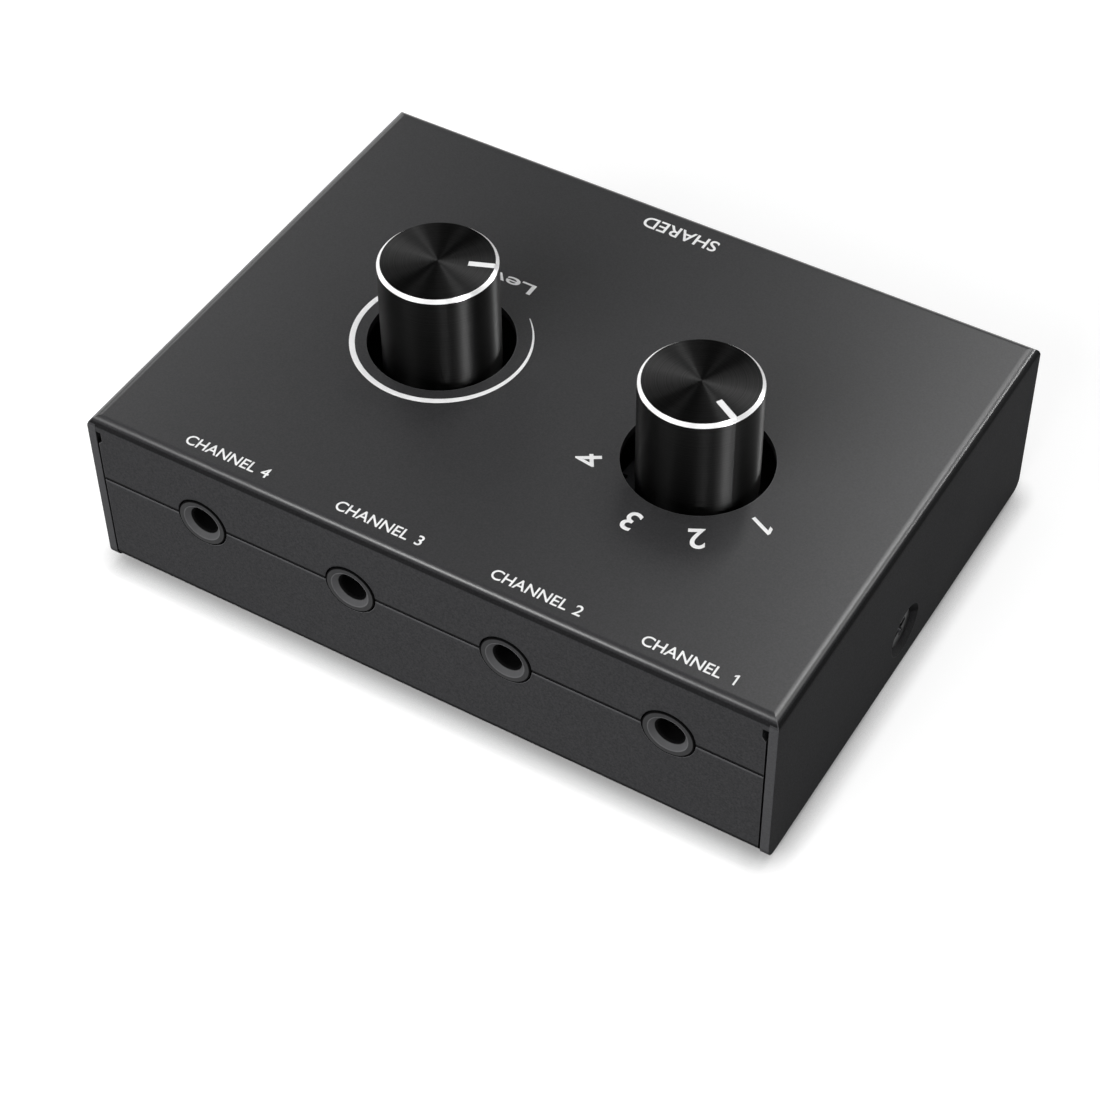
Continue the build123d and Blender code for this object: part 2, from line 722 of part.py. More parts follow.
def common_strip(half):
    """Line of one common strip, bent at each position, with its ends a little further on."""
    turns = [index * detent_pitch for index in range(detent_count)]
    turns[0] -= common_overhang
    turns[-1] += common_overhang
    return [
        (
            contact_inner_ring * cos(radians(selector_rest_angle + half - turn)),
            contact_inner_ring * sin(radians(selector_rest_angle + half - turn)),
        )
        for turn in turns
    ]


def common_points():
    """Places of the pins under the two common strips."""
    return [
        (contact_inner_ring * cos(radians(angle)), contact_inner_ring * sin(radians(angle)))
        for angle in (common_angle, common_angle + 180)
    ]


with BuildPart() as selector_base:
    with BuildSketch(selector_plane):
        Rectangle(switch_width, switch_width)
        with Locations(*contact_points(), *common_points()):
            pin_outline(shaft_play, Mode.SUBTRACT)
    extrude(amount=switch_base_height)
selector_base.part.label = "selector_base"
export_step(selector_base.part, "parts/selector_base.step")

with BuildPart() as selector_contacts:
    with BuildSketch(selector_plane.offset(-board_thickness - tail_below_board)):
        with Locations(*contact_points(), *common_points()):
            pin_outline(0, Mode.ADD)
    extrude(amount=board_thickness + tail_below_board + switch_base_height)
    with BuildSketch(selector_plane.offset(switch_base_height)):
        with Locations(*contact_points()):
            Rectangle(contact_width, contact_width)
        for half in (0, 180):
            with BuildLine():
                Polyline(*common_strip(half))
            trace(line_width=bridge_width)
    extrude(amount=contact_head_height)
selector_contacts.part.label = "selector_contacts"
export_step(selector_contacts.part, "parts/selector_contacts.step")

with BuildPart() as selector_housing:
    with BuildSketch(selector_turn.offset(switch_base_height)) as detent_track:
        Circle(crest_radius)
        # One valley lies behind the plunger, opposite the pointer, at every position
        with PolarLocations(0, round(360 / detent_pitch), start_angle=180):
            Polygon(
                (rotor_radius, -valley_width / 2),
                (crest_radius, -valley_width / 2),
                (crest_radius + valley_depth, -valley_floor_width / 2),
                (crest_radius + valley_depth, valley_floor_width / 2),
                (crest_radius, valley_width / 2),
                (rotor_radius, valley_width / 2),
                align=None,
            )
    with BuildSketch(selector_plane.offset(switch_base_height)) as switch_outline:
        Rectangle(switch_width, switch_width)
    extrude(switch_outline.sketch, amount=switch_housing_height)
    extrude(detent_track.sketch, amount=switch_housing_height, mode=Mode.SUBTRACT)
selector_housing.part.label = "selector_housing"
export_step(selector_housing.part, "parts/selector_housing.step")

# The rotor's lug meets a stop just past the first and the last position
make_frame(
    "selector_frame",
    selector_plane,
    switch_width,
    switch_frame_z,
    [
        turned(selector_turn, selector_stop_angle),
        turned(selector_turn, -selector_travel - selector_stop_angle),
    ],
)

with BuildPart() as selector_rotor:
    with BuildSketch(selector_turn.offset(rotor_z)):
        Circle(rotor_radius)
        stem_bore()
    extrude(amount=rotor_thickness)
    with BuildSketch(selector_turn.offset(rotor_top_z)):
        with Locations((selector_stop_ring, 0)):
            Rectangle(selector_stop_width, selector_stop_width)
    extrude(amount=selector_stop_height)
    # Pocket for the detent plunger and its spring, opposite the pointer
    with BuildSketch(selector_turn.offset(plunger_z)):
        with Locations((-pocket_start - rotor_radius / 2, 0)):
            Rectangle(rotor_radius, plunger_width + 2 * plunger_play)
    extrude(amount=plunger_width / 2 + plunger_play, both=True, mode=Mode.SUBTRACT)
selector_rotor.part.label = "selector_rotor"
export_step(selector_rotor.part, "parts/selector_rotor.step")

with BuildPart() as selector_detent_plunger:
    with BuildSketch(selector_turn.offset(plunger_z)):
        with Locations((-plunger_middle, 0)):
            Rectangle(plunger_length, plunger_width)
    extrude(amount=plunger_width / 2, both=True)
    upright_edges = selector_detent_plunger.edges().filter_by(Axis.Z)
    chamfer(upright_edges.sort_by_distance(selector_turn.origin)[-2:], plunger_nose)
selector_detent_plunger.part.label = "selector_detent_plunger"
export_step(selector_detent_plunger.part, "parts/selector_detent_plunger.step")

# Folded leaf that presses the plunger outwards
with BuildPart() as selector_detent_spring:
    with BuildSketch(selector_turn.offset(plunger_z - detent_strip_width / 2)):
        with BuildLine():
            near = pocket_start + detent_strip_thickness
            far = plunger_tip - plunger_length - detent_strip_thickness
            Polyline(
                (-near, -detent_strip_reach),
                (-near, detent_strip_reach),
                (-(near + far) / 2, -detent_strip_reach),
                (-far, detent_strip_reach),
                (-far, -detent_strip_reach),
            )
        trace(line_width=detent_strip_thickness)
    extrude(amount=detent_strip_width)
selector_detent_spring.part.label = "selector_detent_spring"
export_step(selector_detent_spring.part, "parts/selector_detent_spring.step")

# Two bridges under the rotor, each joining a fixed contact to the common strip beside it
with BuildPart() as selector_bridges:
    bridge_middle = (contact_inner_ring + contact_outer_ring) / 2
    bridge_length = contact_outer_ring - contact_inner_ring + bridge_width
    with BuildSketch(selector_turn.offset(rotor_z)):
        with Locations((bridge_middle, 0), (-bridge_middle, 0)):
            Rectangle(bridge_length, bridge_width)
    extrude(amount=-bridge_thickness)
    with BuildSketch(selector_turn.offset(rotor_z - bridge_thickness)):
        for ring in (contact_inner_ring, contact_outer_ring):
            with Locations((ring, 0), (-ring, 0)):
                Rectangle(bridge_foot, bridge_foot)
    extrude(amount=switch_base_height + contact_head_height + shaft_play + bridge_thickness - rotor_z)
selector_bridges.part.label = "selector_bridges"
export_step(selector_bridges.part, "parts/selector_bridges.step")

make_shaft(
    "selector_shaft",
    selector_turn,
    board_top + rotor_top_z + shaft_play,
    board_top + switch_base_height + shaft_play,
)


# ------------------------------------------------------------------ knobs
def make_knob(label, plane, angle):
    """Turned aluminium knob, white pointer in a milled groove, and the moulded insert inside."""
    foot = Plane(origin=(plane.origin.X, plane.origin.Y, knob_bottom)).rotated((0, 0, angle))
    with BuildPart() as cap:
        with BuildSketch(foot):
            Circle(knob_radius)
        extrude(amount=knob_height)
        chamfer(cap.edges().group_by(Axis.Z)[-1], knob_chamfer)
        with BuildSketch(foot):
            Circle(insert_radius + insert_play)
        extrude(amount=knob_height - knob_crown, mode=Mode.SUBTRACT)
        with BuildSketch(foot.offset(knob_height)):
            with Locations(((pointer_start + knob_radius) / 2, 0)):
                Rectangle(knob_radius - pointer_start, pointer_width)
        extrude(amount=-pointer_depth, mode=Mode.SUBTRACT)
    cap.part.label = label + "_knob_cap"
    export_step(cap.part, f"parts/{label}_knob_cap.step")

    upright = Plane(
        origin=foot.from_local_coords((0, 0, knob_height)), x_dir=foot.x_dir, z_dir=-foot.y_dir
    )
    rim = knob_radius - knob_chamfer - pointer_play
    with BuildPart() as pointer:
        with BuildSketch(upright):
            with BuildLine():
                Polyline(
                    (pointer_start + pointer_play, -pointer_play),
                    (rim - pointer_play, -pointer_play),
                    (rim + pointer_depth - 2 * pointer_play, -pointer_depth + pointer_play),
                    (pointer_start + pointer_play, -pointer_depth + pointer_play),
                    close=True,
                )
            make_face()
        extrude(amount=pointer_width / 2 - pointer_play, both=True)
    pointer.part.label = label + "_pointer"
    export_step(pointer.part, f"parts/{label}_pointer.step")

    with BuildPart() as insert:
        with BuildSketch(foot.offset(insert_recess)):
            Circle(insert_radius)
        extrude(amount=insert_top - insert_bottom - insert_play)
        with BuildSketch(foot.offset(insert_recess)):
            flatted_outline(shaft_radius, shaft_flat, shaft_play)
        extrude(amount=shaft_top + shaft_top_gap / 2 - insert_bottom, mode=Mode.SUBTRACT)
    insert.part.label = label + "_knob_insert"
    export_step(insert.part, f"parts/{label}_knob_insert.step")


make_knob("volume", volume_plane, volume_rest_angle)
make_knob("selector", selector_plane, selector_rest_angle)


# ------------------------------------------------------------------ circuit board
def tail_slot(length_x, length_y):
    """Plated slot for a spring's solder tail."""
    Rectangle(length_x + 2 * drill_play, length_y + 2 * drill_play, mode=Mode.SUBTRACT)


with BuildPart() as circuit_board:
    with BuildSketch(Plane.XY.offset(board_under)) as board_outline:
        Rectangle(board_width, board_depth)
        chamfer(board_outline.vertices(), board_corner)
        with Locations(*standoff_points):
            Circle(screw_radius + drill_play, mode=Mode.SUBTRACT)
        with Locations(*[(point.X, point.Y) for point in flank_tails]):
            tail_slot(spring_thickness, tail_width)
        with Locations(*[(point.X, point.Y) for point in sleeve_tails]):
            tail_slot(tail_width, spring_thickness)
        for tongue in (lower_tongue, upper_tongue):
            with Locations((volume_x, volume_y + pot_front - tongue + pin_inset)):
                with GridLocations(pin_pitch, 1, 3, 1):
                    pin_outline(drill_play, Mode.SUBTRACT)
        with Locations((selector_x, selector_y)):
            with Locations(*contact_points(), *common_points()):
                pin_outline(drill_play, Mode.SUBTRACT)
    extrude(amount=board_thickness)
circuit_board.part.label = "circuit_board"
export_step(circuit_board.part, "parts/circuit_board.step")
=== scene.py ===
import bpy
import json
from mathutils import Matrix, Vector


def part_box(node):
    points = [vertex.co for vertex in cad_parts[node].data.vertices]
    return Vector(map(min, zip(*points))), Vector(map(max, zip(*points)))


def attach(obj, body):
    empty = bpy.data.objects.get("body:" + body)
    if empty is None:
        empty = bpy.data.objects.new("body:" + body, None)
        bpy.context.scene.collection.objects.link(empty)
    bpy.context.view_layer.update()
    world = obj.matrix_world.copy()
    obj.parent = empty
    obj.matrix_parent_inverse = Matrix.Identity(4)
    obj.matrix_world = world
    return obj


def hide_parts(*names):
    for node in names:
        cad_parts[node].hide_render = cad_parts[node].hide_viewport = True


bl_info = {
    "name": "Audio selector switch finish",
    "version": (1, 0, 0),
    "blender": (4, 5, 0),
    "location": "View3D > Sidebar > Selector switch",
    "description": "Finishes, screws, printing and studio for a desktop audio selector switch",
    "category": "Object",
}

import json
import math

import bmesh
import bpy
from bpy.props import FloatProperty, FloatVectorProperty, PointerProperty
from mathutils import Matrix, Vector

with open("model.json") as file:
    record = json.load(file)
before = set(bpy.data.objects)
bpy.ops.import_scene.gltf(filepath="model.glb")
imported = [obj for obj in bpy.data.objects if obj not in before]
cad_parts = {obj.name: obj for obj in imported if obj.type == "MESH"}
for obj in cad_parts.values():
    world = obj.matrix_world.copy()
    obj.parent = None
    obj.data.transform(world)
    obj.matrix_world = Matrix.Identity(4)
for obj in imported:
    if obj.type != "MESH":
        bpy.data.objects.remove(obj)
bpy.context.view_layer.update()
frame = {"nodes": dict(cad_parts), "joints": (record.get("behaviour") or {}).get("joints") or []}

MM = 0.001

joints = {joint["name"]: joint for joint in frame["joints"]}
volume_axis = Vector(joints["volume_turn"]["pos_m"])
selector_axis = Vector(joints["selector_turn"]["pos_m"])
case_low, case_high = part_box("top_cover")
knob_low, knob_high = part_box("volume_knob_cap")
knob_radius = (knob_high.x - knob_low.x) / 2
knob_height = knob_high.z - knob_low.z
sheet = 1.2 * MM
seam_z = 16.4 * MM  # height of the seam and of the sockets' axes
bend_depth = 2 * MM  # the cover's top bends lie within this depth
# the marks round a bore are plug wear, painted shade and painted light
socket_reach = 4 * MM  # measure for the marks round a socket's bore
weld = 0.0005 * MM  # points closer than this are one


# ------------------------------------------------------------------ sizes and colours
def length_setting(name, description, default):
    """A size in metres, shown in the scene's length unit."""
    return FloatProperty(
        name=name,
        description=description,
        default=default,
        min=0.0,
        precision=5,
        subtype="DISTANCE",
    )


def angle_setting(name, description, degrees):
    """An angle, written here in degrees."""
    return FloatProperty(
        name=name, description=description, default=math.radians(degrees), subtype="ANGLE"
    )


def colour_setting(name, description, red, green, blue):
    """An opaque linear colour."""
    return FloatVectorProperty(
        name=name, description=description, default=(red, green, blue, 1.0), size=4, subtype="COLOR"
    )


def level_setting(name, description, default):
    """A plain factor or a lamp's brightness."""
    return FloatProperty(name=name, description=description, default=default, min=0.0)


class SelectorCoatSettings(bpy.types.PropertyGroup):
    """Powder coat of the folded case."""

    colour: colour_setting("Colour", "Charcoal of the powder coat", 0.032, 0.032, 0.0335)
    # the thin coat on cut edges, and also the painted highlight on up-facing lips and under the
    # seam
    edge_colour: colour_setting("Edge colour", "Where the coat thins on an edge", 0.12, 0.12, 0.125)
    roughness: level_setting("Roughness", "Sheen of the coat, 0 is a mirror", 0.6)
    gloss: level_setting("Gloss", "Strength of the coat's reflections", 0.012)
    polish_roughness: level_setting("Polish roughness", "Sheen where hands polish the coat", 0.3)
    polish_top: level_setting("Polish of the top", "How far hands polish the flat top", 0.5)
    # painted shade: how dark the coat is painted just under a bend
    under_bend: level_setting("Under the bends", "Tone of the coat just under a bend", 0.35)
    cut_edge: level_setting("Cut edges", "How thin the coat is on the sheet's cut edges", 0.25)
    grain_size: length_setting("Grain size", "Width of one grain of the coat", 0.22 * MM)
    grain_depth: length_setting("Grain depth", "Height of the grains", 0.006 * MM)
    cloud_size: length_setting("Cloud size", "Width of the slow changes of sheen", 22 * MM)
    edge_radius: length_setting("Edge radius", "How far the coat rounds a cut edge", 0.2 * MM)
    # painted shade: how wide a seam the coat is painted darker in
    gap_reach: length_setting("Gap reach", "How wide a seam the coat darkens in", 0.8 * MM)
    # painted light: sets the width of the painted shade and highlight along the seam
    lip_width: length_setting("Lip width", "Width of the rolled lips along the seam", 0.18 * MM)


class SelectorKnobSettings(bpy.types.PropertyGroup):
    """Turned and dyed aluminium knobs."""

    colour: colour_setting("Dye", "Black of the anodised metal", 0.02, 0.02, 0.02)
    rim_colour: colour_setting("Rim", "Bare metal of the cut rim", 0.93, 0.93, 0.93)
    # below 1 the rim's white is partly painted reflection
    rim_metal: level_setting("Rim metal", "How metallic the rim is, 0 is matt white", 0.35)
    rim_width: length_setting("Rim width", "Width of the rim, seen from above", 0.46 * MM)
    groove_pitch: length_setting("Groove pitch", "Distance between turned grooves", 0.16 * MM)
    groove_depth: length_setting("Groove depth", "Depth of the turned grooves", 0.004 * MM)


class SelectorScrewSettings(bpy.types.PropertyGroup):
    """Side screws with a cross recess."""

    length: length_setting("Length", "Length of the screw", 6.0 * MM)
    shank_radius: length_setting("Shank radius", "Outer radius of the thread", 1.5 * MM)
    thread_pitch: length_setting("Thread pitch", "Distance between threads", 0.5 * MM)
    thread_depth: length_setting("Thread depth", "Depth of the thread", 0.3 * MM)
    recess_span: length_setting("Recess span", "Tip to tip across the recess", 3.6 * MM)
    recess_width: length_setting("Recess width", "Width of one arm of the recess", 0.95 * MM)
    recess_depth: length_setting("Recess depth", "Depth of the recess", 1.3 * MM)


class SelectorPrintSettings(bpy.types.PropertyGroup):
    """White printing on the cover."""

    colour: colour_setting("Ink", "White of the ink and the pointers", 0.9, 0.9, 0.9)
    thickness: length_setting("Thickness", "Thickness of the ink", 0.03 * MM)
    number_height: length_setting("Number height", "Height of a position's number", 3.3 * MM)
    number_ring: length_setting("Number ring", "Radius that the numbers stand on", 13.5 * MM)
    number_angles: FloatVectorProperty(
        name="Number angles",
        description="Places of the numbers 1 to 4 round the selector",
        default=[math.radians(angle) for angle in (-26.4, -62.0, -98.3, -148.3)],
        size=4,
        unit="ROTATION",
    )
    label_height: length_setting("Label height", "Height of a socket's label", 1.65 * MM)
    label_width: length_setting("Label width", "Width of a socket's label", 12.4 * MM)
    label_from_front: length_setting("Label from front", "From the front wall to a label", 3.4 * MM)
    rear_height: length_setting("Rear label height", "Height of the rear label", 2.145 * MM)
    rear_width: length_setting("Rear label width", "Width of the rear label", 11.1 * MM)
    rear_inset: length_setting("Rear label inset", "From the rear wall to its label", 4.1 * MM)
    rear_left: length_setting("Rear label shift", "From the case's middle to the left", 1.6 * MM)
    level_height: length_setting("Level height", "Height of the volume knob's word", 1.98 * MM)
    level_width: length_setting("Level width", "Width of the volume knob's word", 9.7 * MM)
    level_behind: length_setting("Level distance", "From the knob back to its word", 13.8 * MM)
    level_right: length_setting("Level shift", "From the knob's axis to the right", 0.6 * MM)
    label_places: FloatVectorProperty(
        name="Label places",
        description="Middles of the labels 1 to 4, from the case's middle to the right",
        default=[place * MM for place in (35.6, 15.1, -7.1, -29.5)],
        size=4,
        unit="LENGTH",
    )
    arc_outside: length_setting("Arc outside", "Outer radius of the volume arc", 11.95 * MM)
    arc_width: length_setting("Arc width", "Width of the arc where it is full", 0.75 * MM)
    arc_start: angle_setting("Arc start", "Thin end of the arc", 48.8)
    arc_sweep: angle_setting("Arc sweep", "Turn from the thin end to the thick end", 277.6)


class SelectorStageSettings(bpy.types.PropertyGroup):
    """Camera, floor and lamps."""

    azimuth: angle_setting("Azimuth", "Camera's place round the object, from the front", 31.51)
    elevation: angle_setting("Elevation", "Camera's height over the table", 47.24)
    roll: angle_setting("Roll", "Tilt of the camera about its own axis", -0.79)
    distance: length_setting("Distance", "From the camera to the point that it looks at", 0.33834)
    lens: level_setting("Lens", "Focal length in millimetres", 87.94)
    aim: FloatVectorProperty(
        name="Aim",
        description="Point that the camera looks at",
        default=(0.00672651, -0.01609028, 0.0139),
        precision=5,
        subtype="XYZ",
    )
    floor_colour: colour_setting("Floor", "Pale floor", 0.42, 0.42, 0.42)
    floor_glow: level_setting("Floor glow", "White added to the floor as a background", 0.76)
    # painted shadow: how far the floor's glow fades near the object
    shadow_reach: length_setting("Shadow reach", "How far the close shadow goes", 3.5 * MM)
    ambient: level_setting("Ambient", "Light from all round", 0.2)
    fill_front: level_setting("Front fill", "Brightness of the softbox at the front", 6.6)
    fill_top: level_setting("Top fill", "Brightness of the softbox overhead", 1.1)
    back: level_setting("Back", "Brightness of the softboxes behind on both sides", 3.6)
    edges: level_setting("Edges", "Brightness of the lamps that draw the bends", 10.0)
    rim: level_setting("Rim", "Brightness of the small lamp behind the camera", 5.0)
    strips: level_setting("Strips", "Brightness of the lamps that draw the knobs", 34.0)


# ------------------------------------------------------------------ shader helpers
BLACK, WHITE = (0.0, 0.0, 0.0, 1.0), (1.0, 1.0, 1.0, 1.0)
def new_node(tree, kind, **settings):
    """Node with its plain settings, such as its operation."""
    node = tree.nodes.new(kind)
    for name, value in settings.items():
        setattr(node, name, value)
    return node


def feed(tree, socket, value):
    """Links an output to the socket, or sets a constant on it."""
    if isinstance(value, bpy.types.NodeSocket):
        tree.links.new(value, socket)
    else:
        socket.default_value = value


def calc(tree, operation, first, second=0.0):
    """One step of arithmetic."""
    node = new_node(tree, "ShaderNodeMath", operation=operation)
    feed(tree, node.inputs[0], first)
    feed(tree, node.inputs[1], second)
    return node.outputs[0]


def spread(tree, value, low, high):
    """Takes a value from 0..1 to low..high."""
    node = new_node(tree, "ShaderNodeMapRange")
    feed(tree, node.inputs["Value"], value)
    feed(tree, node.inputs["To Min"], low)
    feed(tree, node.inputs["To Max"], high)
    return node.outputs["Result"]


def mix_colours(tree, factor, first, second):
    """First colour at factor 0, second at factor 1."""
    node = new_node(tree, "ShaderNodeMix", data_type="RGBA")
    sockets = {socket.name: socket for socket in node.inputs if socket.enabled}
    feed(tree, sockets["Factor"], factor)
    feed(tree, sockets["A"], first)
    feed(tree, sockets["B"], second)
    return next(socket for socket in node.outputs if socket.enabled)


def bump(tree, height, depth, normal=None):
    """Normal bent by a height map; depth is in metres."""
    node = new_node(tree, "ShaderNodeBump")
    feed(tree, node.inputs["Height"], height)
    feed(tree, node.inputs["Distance"], depth)
    if normal is not None:
        feed(tree, node.inputs["Normal"], normal)
    return node.outputs["Normal"]


def shade(colour, factor):
    """The same hue, darker or lighter."""
    return (colour[0] * factor, colour[1] * factor, colour[2] * factor, 1.0)


def start_material(name, colour):
    """Empty material with a Principled shader: (material, tree, shader)."""
    material = bpy.data.materials.new(name)
    material.use_nodes = True
    material.diffuse_color = shade(colour, 1.0)
    tree = material.node_tree
    tree.nodes.clear()
    shader = new_node(tree, "ShaderNodeBsdfPrincipled")
    output = new_node(tree, "ShaderNodeOutputMaterial")
    tree.links.new(shader.outputs["BSDF"], output.inputs["Surface"])
    return material, tree, shader


def start_group(name, inputs, outputs):
    """Empty shader group with float inputs {name: default} and outputs {name: type}."""
    group = bpy.data.node_groups.new(name, "ShaderNodeTree")
    for label, default in inputs.items():
        socket = group.interface.new_socket(label, in_out="INPUT", socket_type="NodeSocketFloat")
        socket.default_value = default
    for label, kind in outputs.items():
        group.interface.new_socket(label, in_out="OUTPUT", socket_type=kind)
    given = new_node(group, "NodeGroupInput").outputs
    made = new_node(group, "NodeGroupOutput").inputs
    return group, given, made


def place_group(tree, group, **values):
    """Outputs of a group that is placed in a material with its own values."""
    node = new_node(tree, "ShaderNodeGroup")
    node.node_tree = group
    for label, value in values.items():
        feed(tree, node.inputs[label], value)
    return node.outputs


def object_noise(tree, scale, detail, roughness=0.5):
    """Noise fixed to the object; scale is in cells for each metre."""
    place = new_node(tree, "ShaderNodeTexCoord")
    noise = new_node(tree, "ShaderNodeTexNoise")
    tree.links.new(place.outputs["Object"], noise.inputs["Vector"])
    feed(tree, noise.inputs["Scale"], scale)
    noise.inputs["Detail"].default_value = detail
    noise.inputs["Roughness"].default_value = roughness
    return noise.outputs["Fac"]


# ------------------------------------------------------------------ effects that materials share
FLOAT, VECTOR = "NodeSocketFloat", "NodeSocketVector"


def shared_group(name, build):
    """The group of that name, built the first time that it is asked for."""
    return bpy.data.node_groups.get(name) or build(name)


def build_grain(name):
    """Fine grain of a coat or a moulding, with soft larger swells under it."""
    group, given, made = start_group(name, {"Size": 0.2 * MM}, {"Shade": FLOAT, "Height": FLOAT})
    cells = calc(group, "DIVIDE", 1.0, given["Size"])
    fine = object_noise(group, cells, 2.0)
    swell = object_noise(group, calc(group, "MULTIPLY", cells, 0.3), 1.0)
    feed(group, made["Shade"], fine)
    feed(group, made["Height"], calc(group, "ADD", fine, calc(group, "MULTIPLY", swell, 0.8)))
    return group


def build_clouds(name):
    """Slow change of gloss and tone over a surface, as handling and curing leave it."""
    group, given, made = start_group(name, {"Size": 20 * MM}, {"Cloud": FLOAT})
    cells = calc(group, "DIVIDE", 1.0, given["Size"])
    broad = object_noise(group, cells, 3.0, 0.6)
    close = object_noise(group, calc(group, "MULTIPLY", cells, 7.0), 4.0, 0.6)
    parts = [calc(group, "MULTIPLY", noise, share) for noise, share in ((broad, 0.7), (close, 0.3))]
    feed(group, made["Cloud"], calc(group, "ADD", *parts))
    return group


def build_edges(name):
    """Rounded normal along sharp edges, and a mask that is 1 on them."""
    group, given, made = start_group(name, {"Radius": 0.1 * MM}, {"Normal": VECTOR, "Edge": FLOAT})
    bevel = new_node(group, "ShaderNodeBevel", samples=6)
    feed(group, bevel.inputs["Radius"], given["Radius"])
    geometry = new_node(group, "ShaderNodeNewGeometry")
    agree = new_node(group, "ShaderNodeVectorMath", operation="DOT_PRODUCT")
    feed(group, agree.inputs[0], bevel.outputs["Normal"])
    feed(group, agree.inputs[1], geometry.outputs["Normal"])
    turned_away = calc(group, "SUBTRACT", 1.0, agree.outputs["Value"])
    feed(group, made["Normal"], bevel.outputs["Normal"])
    edge = calc(group, "MINIMUM", calc(group, "MULTIPLY", turned_away, 8.0), 1.0)
    feed(group, made["Edge"], edge)
    return group


def build_gaps(name):
    """1 in the open, and less the deeper a point lies in a seam or a slit; the materials and the
    floor paint shade with it.
    """
    group, given, made = start_group(name, {"Reach": 1.0 * MM}, {"Open": FLOAT})
    hidden = new_node(group, "ShaderNodeAmbientOcclusion", samples=6)
    feed(group, hidden.inputs["Distance"], given["Reach"])
    feed(group, made["Open"], calc(group, "POWER", hidden.outputs["AO"], 2.0))
    return group


def build_turned(name):
    """Marks of a lathe on a round piece that stands upright: rings on its ends and its side."""
    sizes = {"Diameter": 15.6 * MM, "Length": 17 * MM, "Pitch": 0.2 * MM}
    outputs = {"Radius": FLOAT, "Below top": FLOAT, "Height": FLOAT}
    group, given, made = start_group(name, sizes, outputs)
    place = new_node(group, "ShaderNodeTexCoord")
    axes = new_node(group, "ShaderNodeSeparateXYZ")
    feed(group, axes.inputs["Vector"], place.outputs["Generated"])
    across = [calc(group, "SUBTRACT", axes.outputs[label], 0.5) for label in ("X", "Y")]
    squares = [calc(group, "POWER", calc(group, "ABSOLUTE", value), 2.0) for value in across]
    reach = calc(group, "POWER", calc(group, "ADD", *squares), 0.5)
    radius = calc(group, "MULTIPLY", reach, given["Diameter"])
    from_top = calc(group, "SUBTRACT", 1.0, axes.outputs["Z"])
    below_top = calc(group, "MULTIPLY", from_top, given["Length"])
    rings = new_node(group, "ShaderNodeTexNoise", noise_dimensions="1D")
    along = calc(group, "ADD", radius, below_top)
    feed(group, rings.inputs["W"], calc(group, "DIVIDE", along, given["Pitch"]))
    rings.inputs["Scale"].default_value = 1.0
    rings.inputs["Detail"].default_value = 2.0
    feed(group, made["Radius"], radius)
    feed(group, made["Below top"], below_top)
    feed(group, made["Height"], rings.outputs["Fac"])
    return group


# ------------------------------------------------------------------ materials
def start_surface(name, colour, grain_size, cloud_size, edge_radius):
    """Started material with shared effects: (material, tree, shader, grain, cloud, edges)."""
    material, tree, shader = start_material(name, colour)
    grain = place_group(tree, shared_group("Grain", build_grain), Size=grain_size)
    clouds = place_group(tree, shared_group("Clouds", build_clouds), Size=cloud_size)
    edges = place_group(tree, shared_group("Soft edges", build_edges), Radius=edge_radius)
    return material, tree, shader, grain, clouds["Cloud"], edges


def dress(tree, shader, colour, roughness, normal):
    """Feeds the three sockets that change over every surface."""
    feed(tree, shader.inputs["Base Color"], colour)
    feed(tree, shader.inputs["Roughness"], roughness)
    feed(tree, shader.inputs["Normal"], normal)


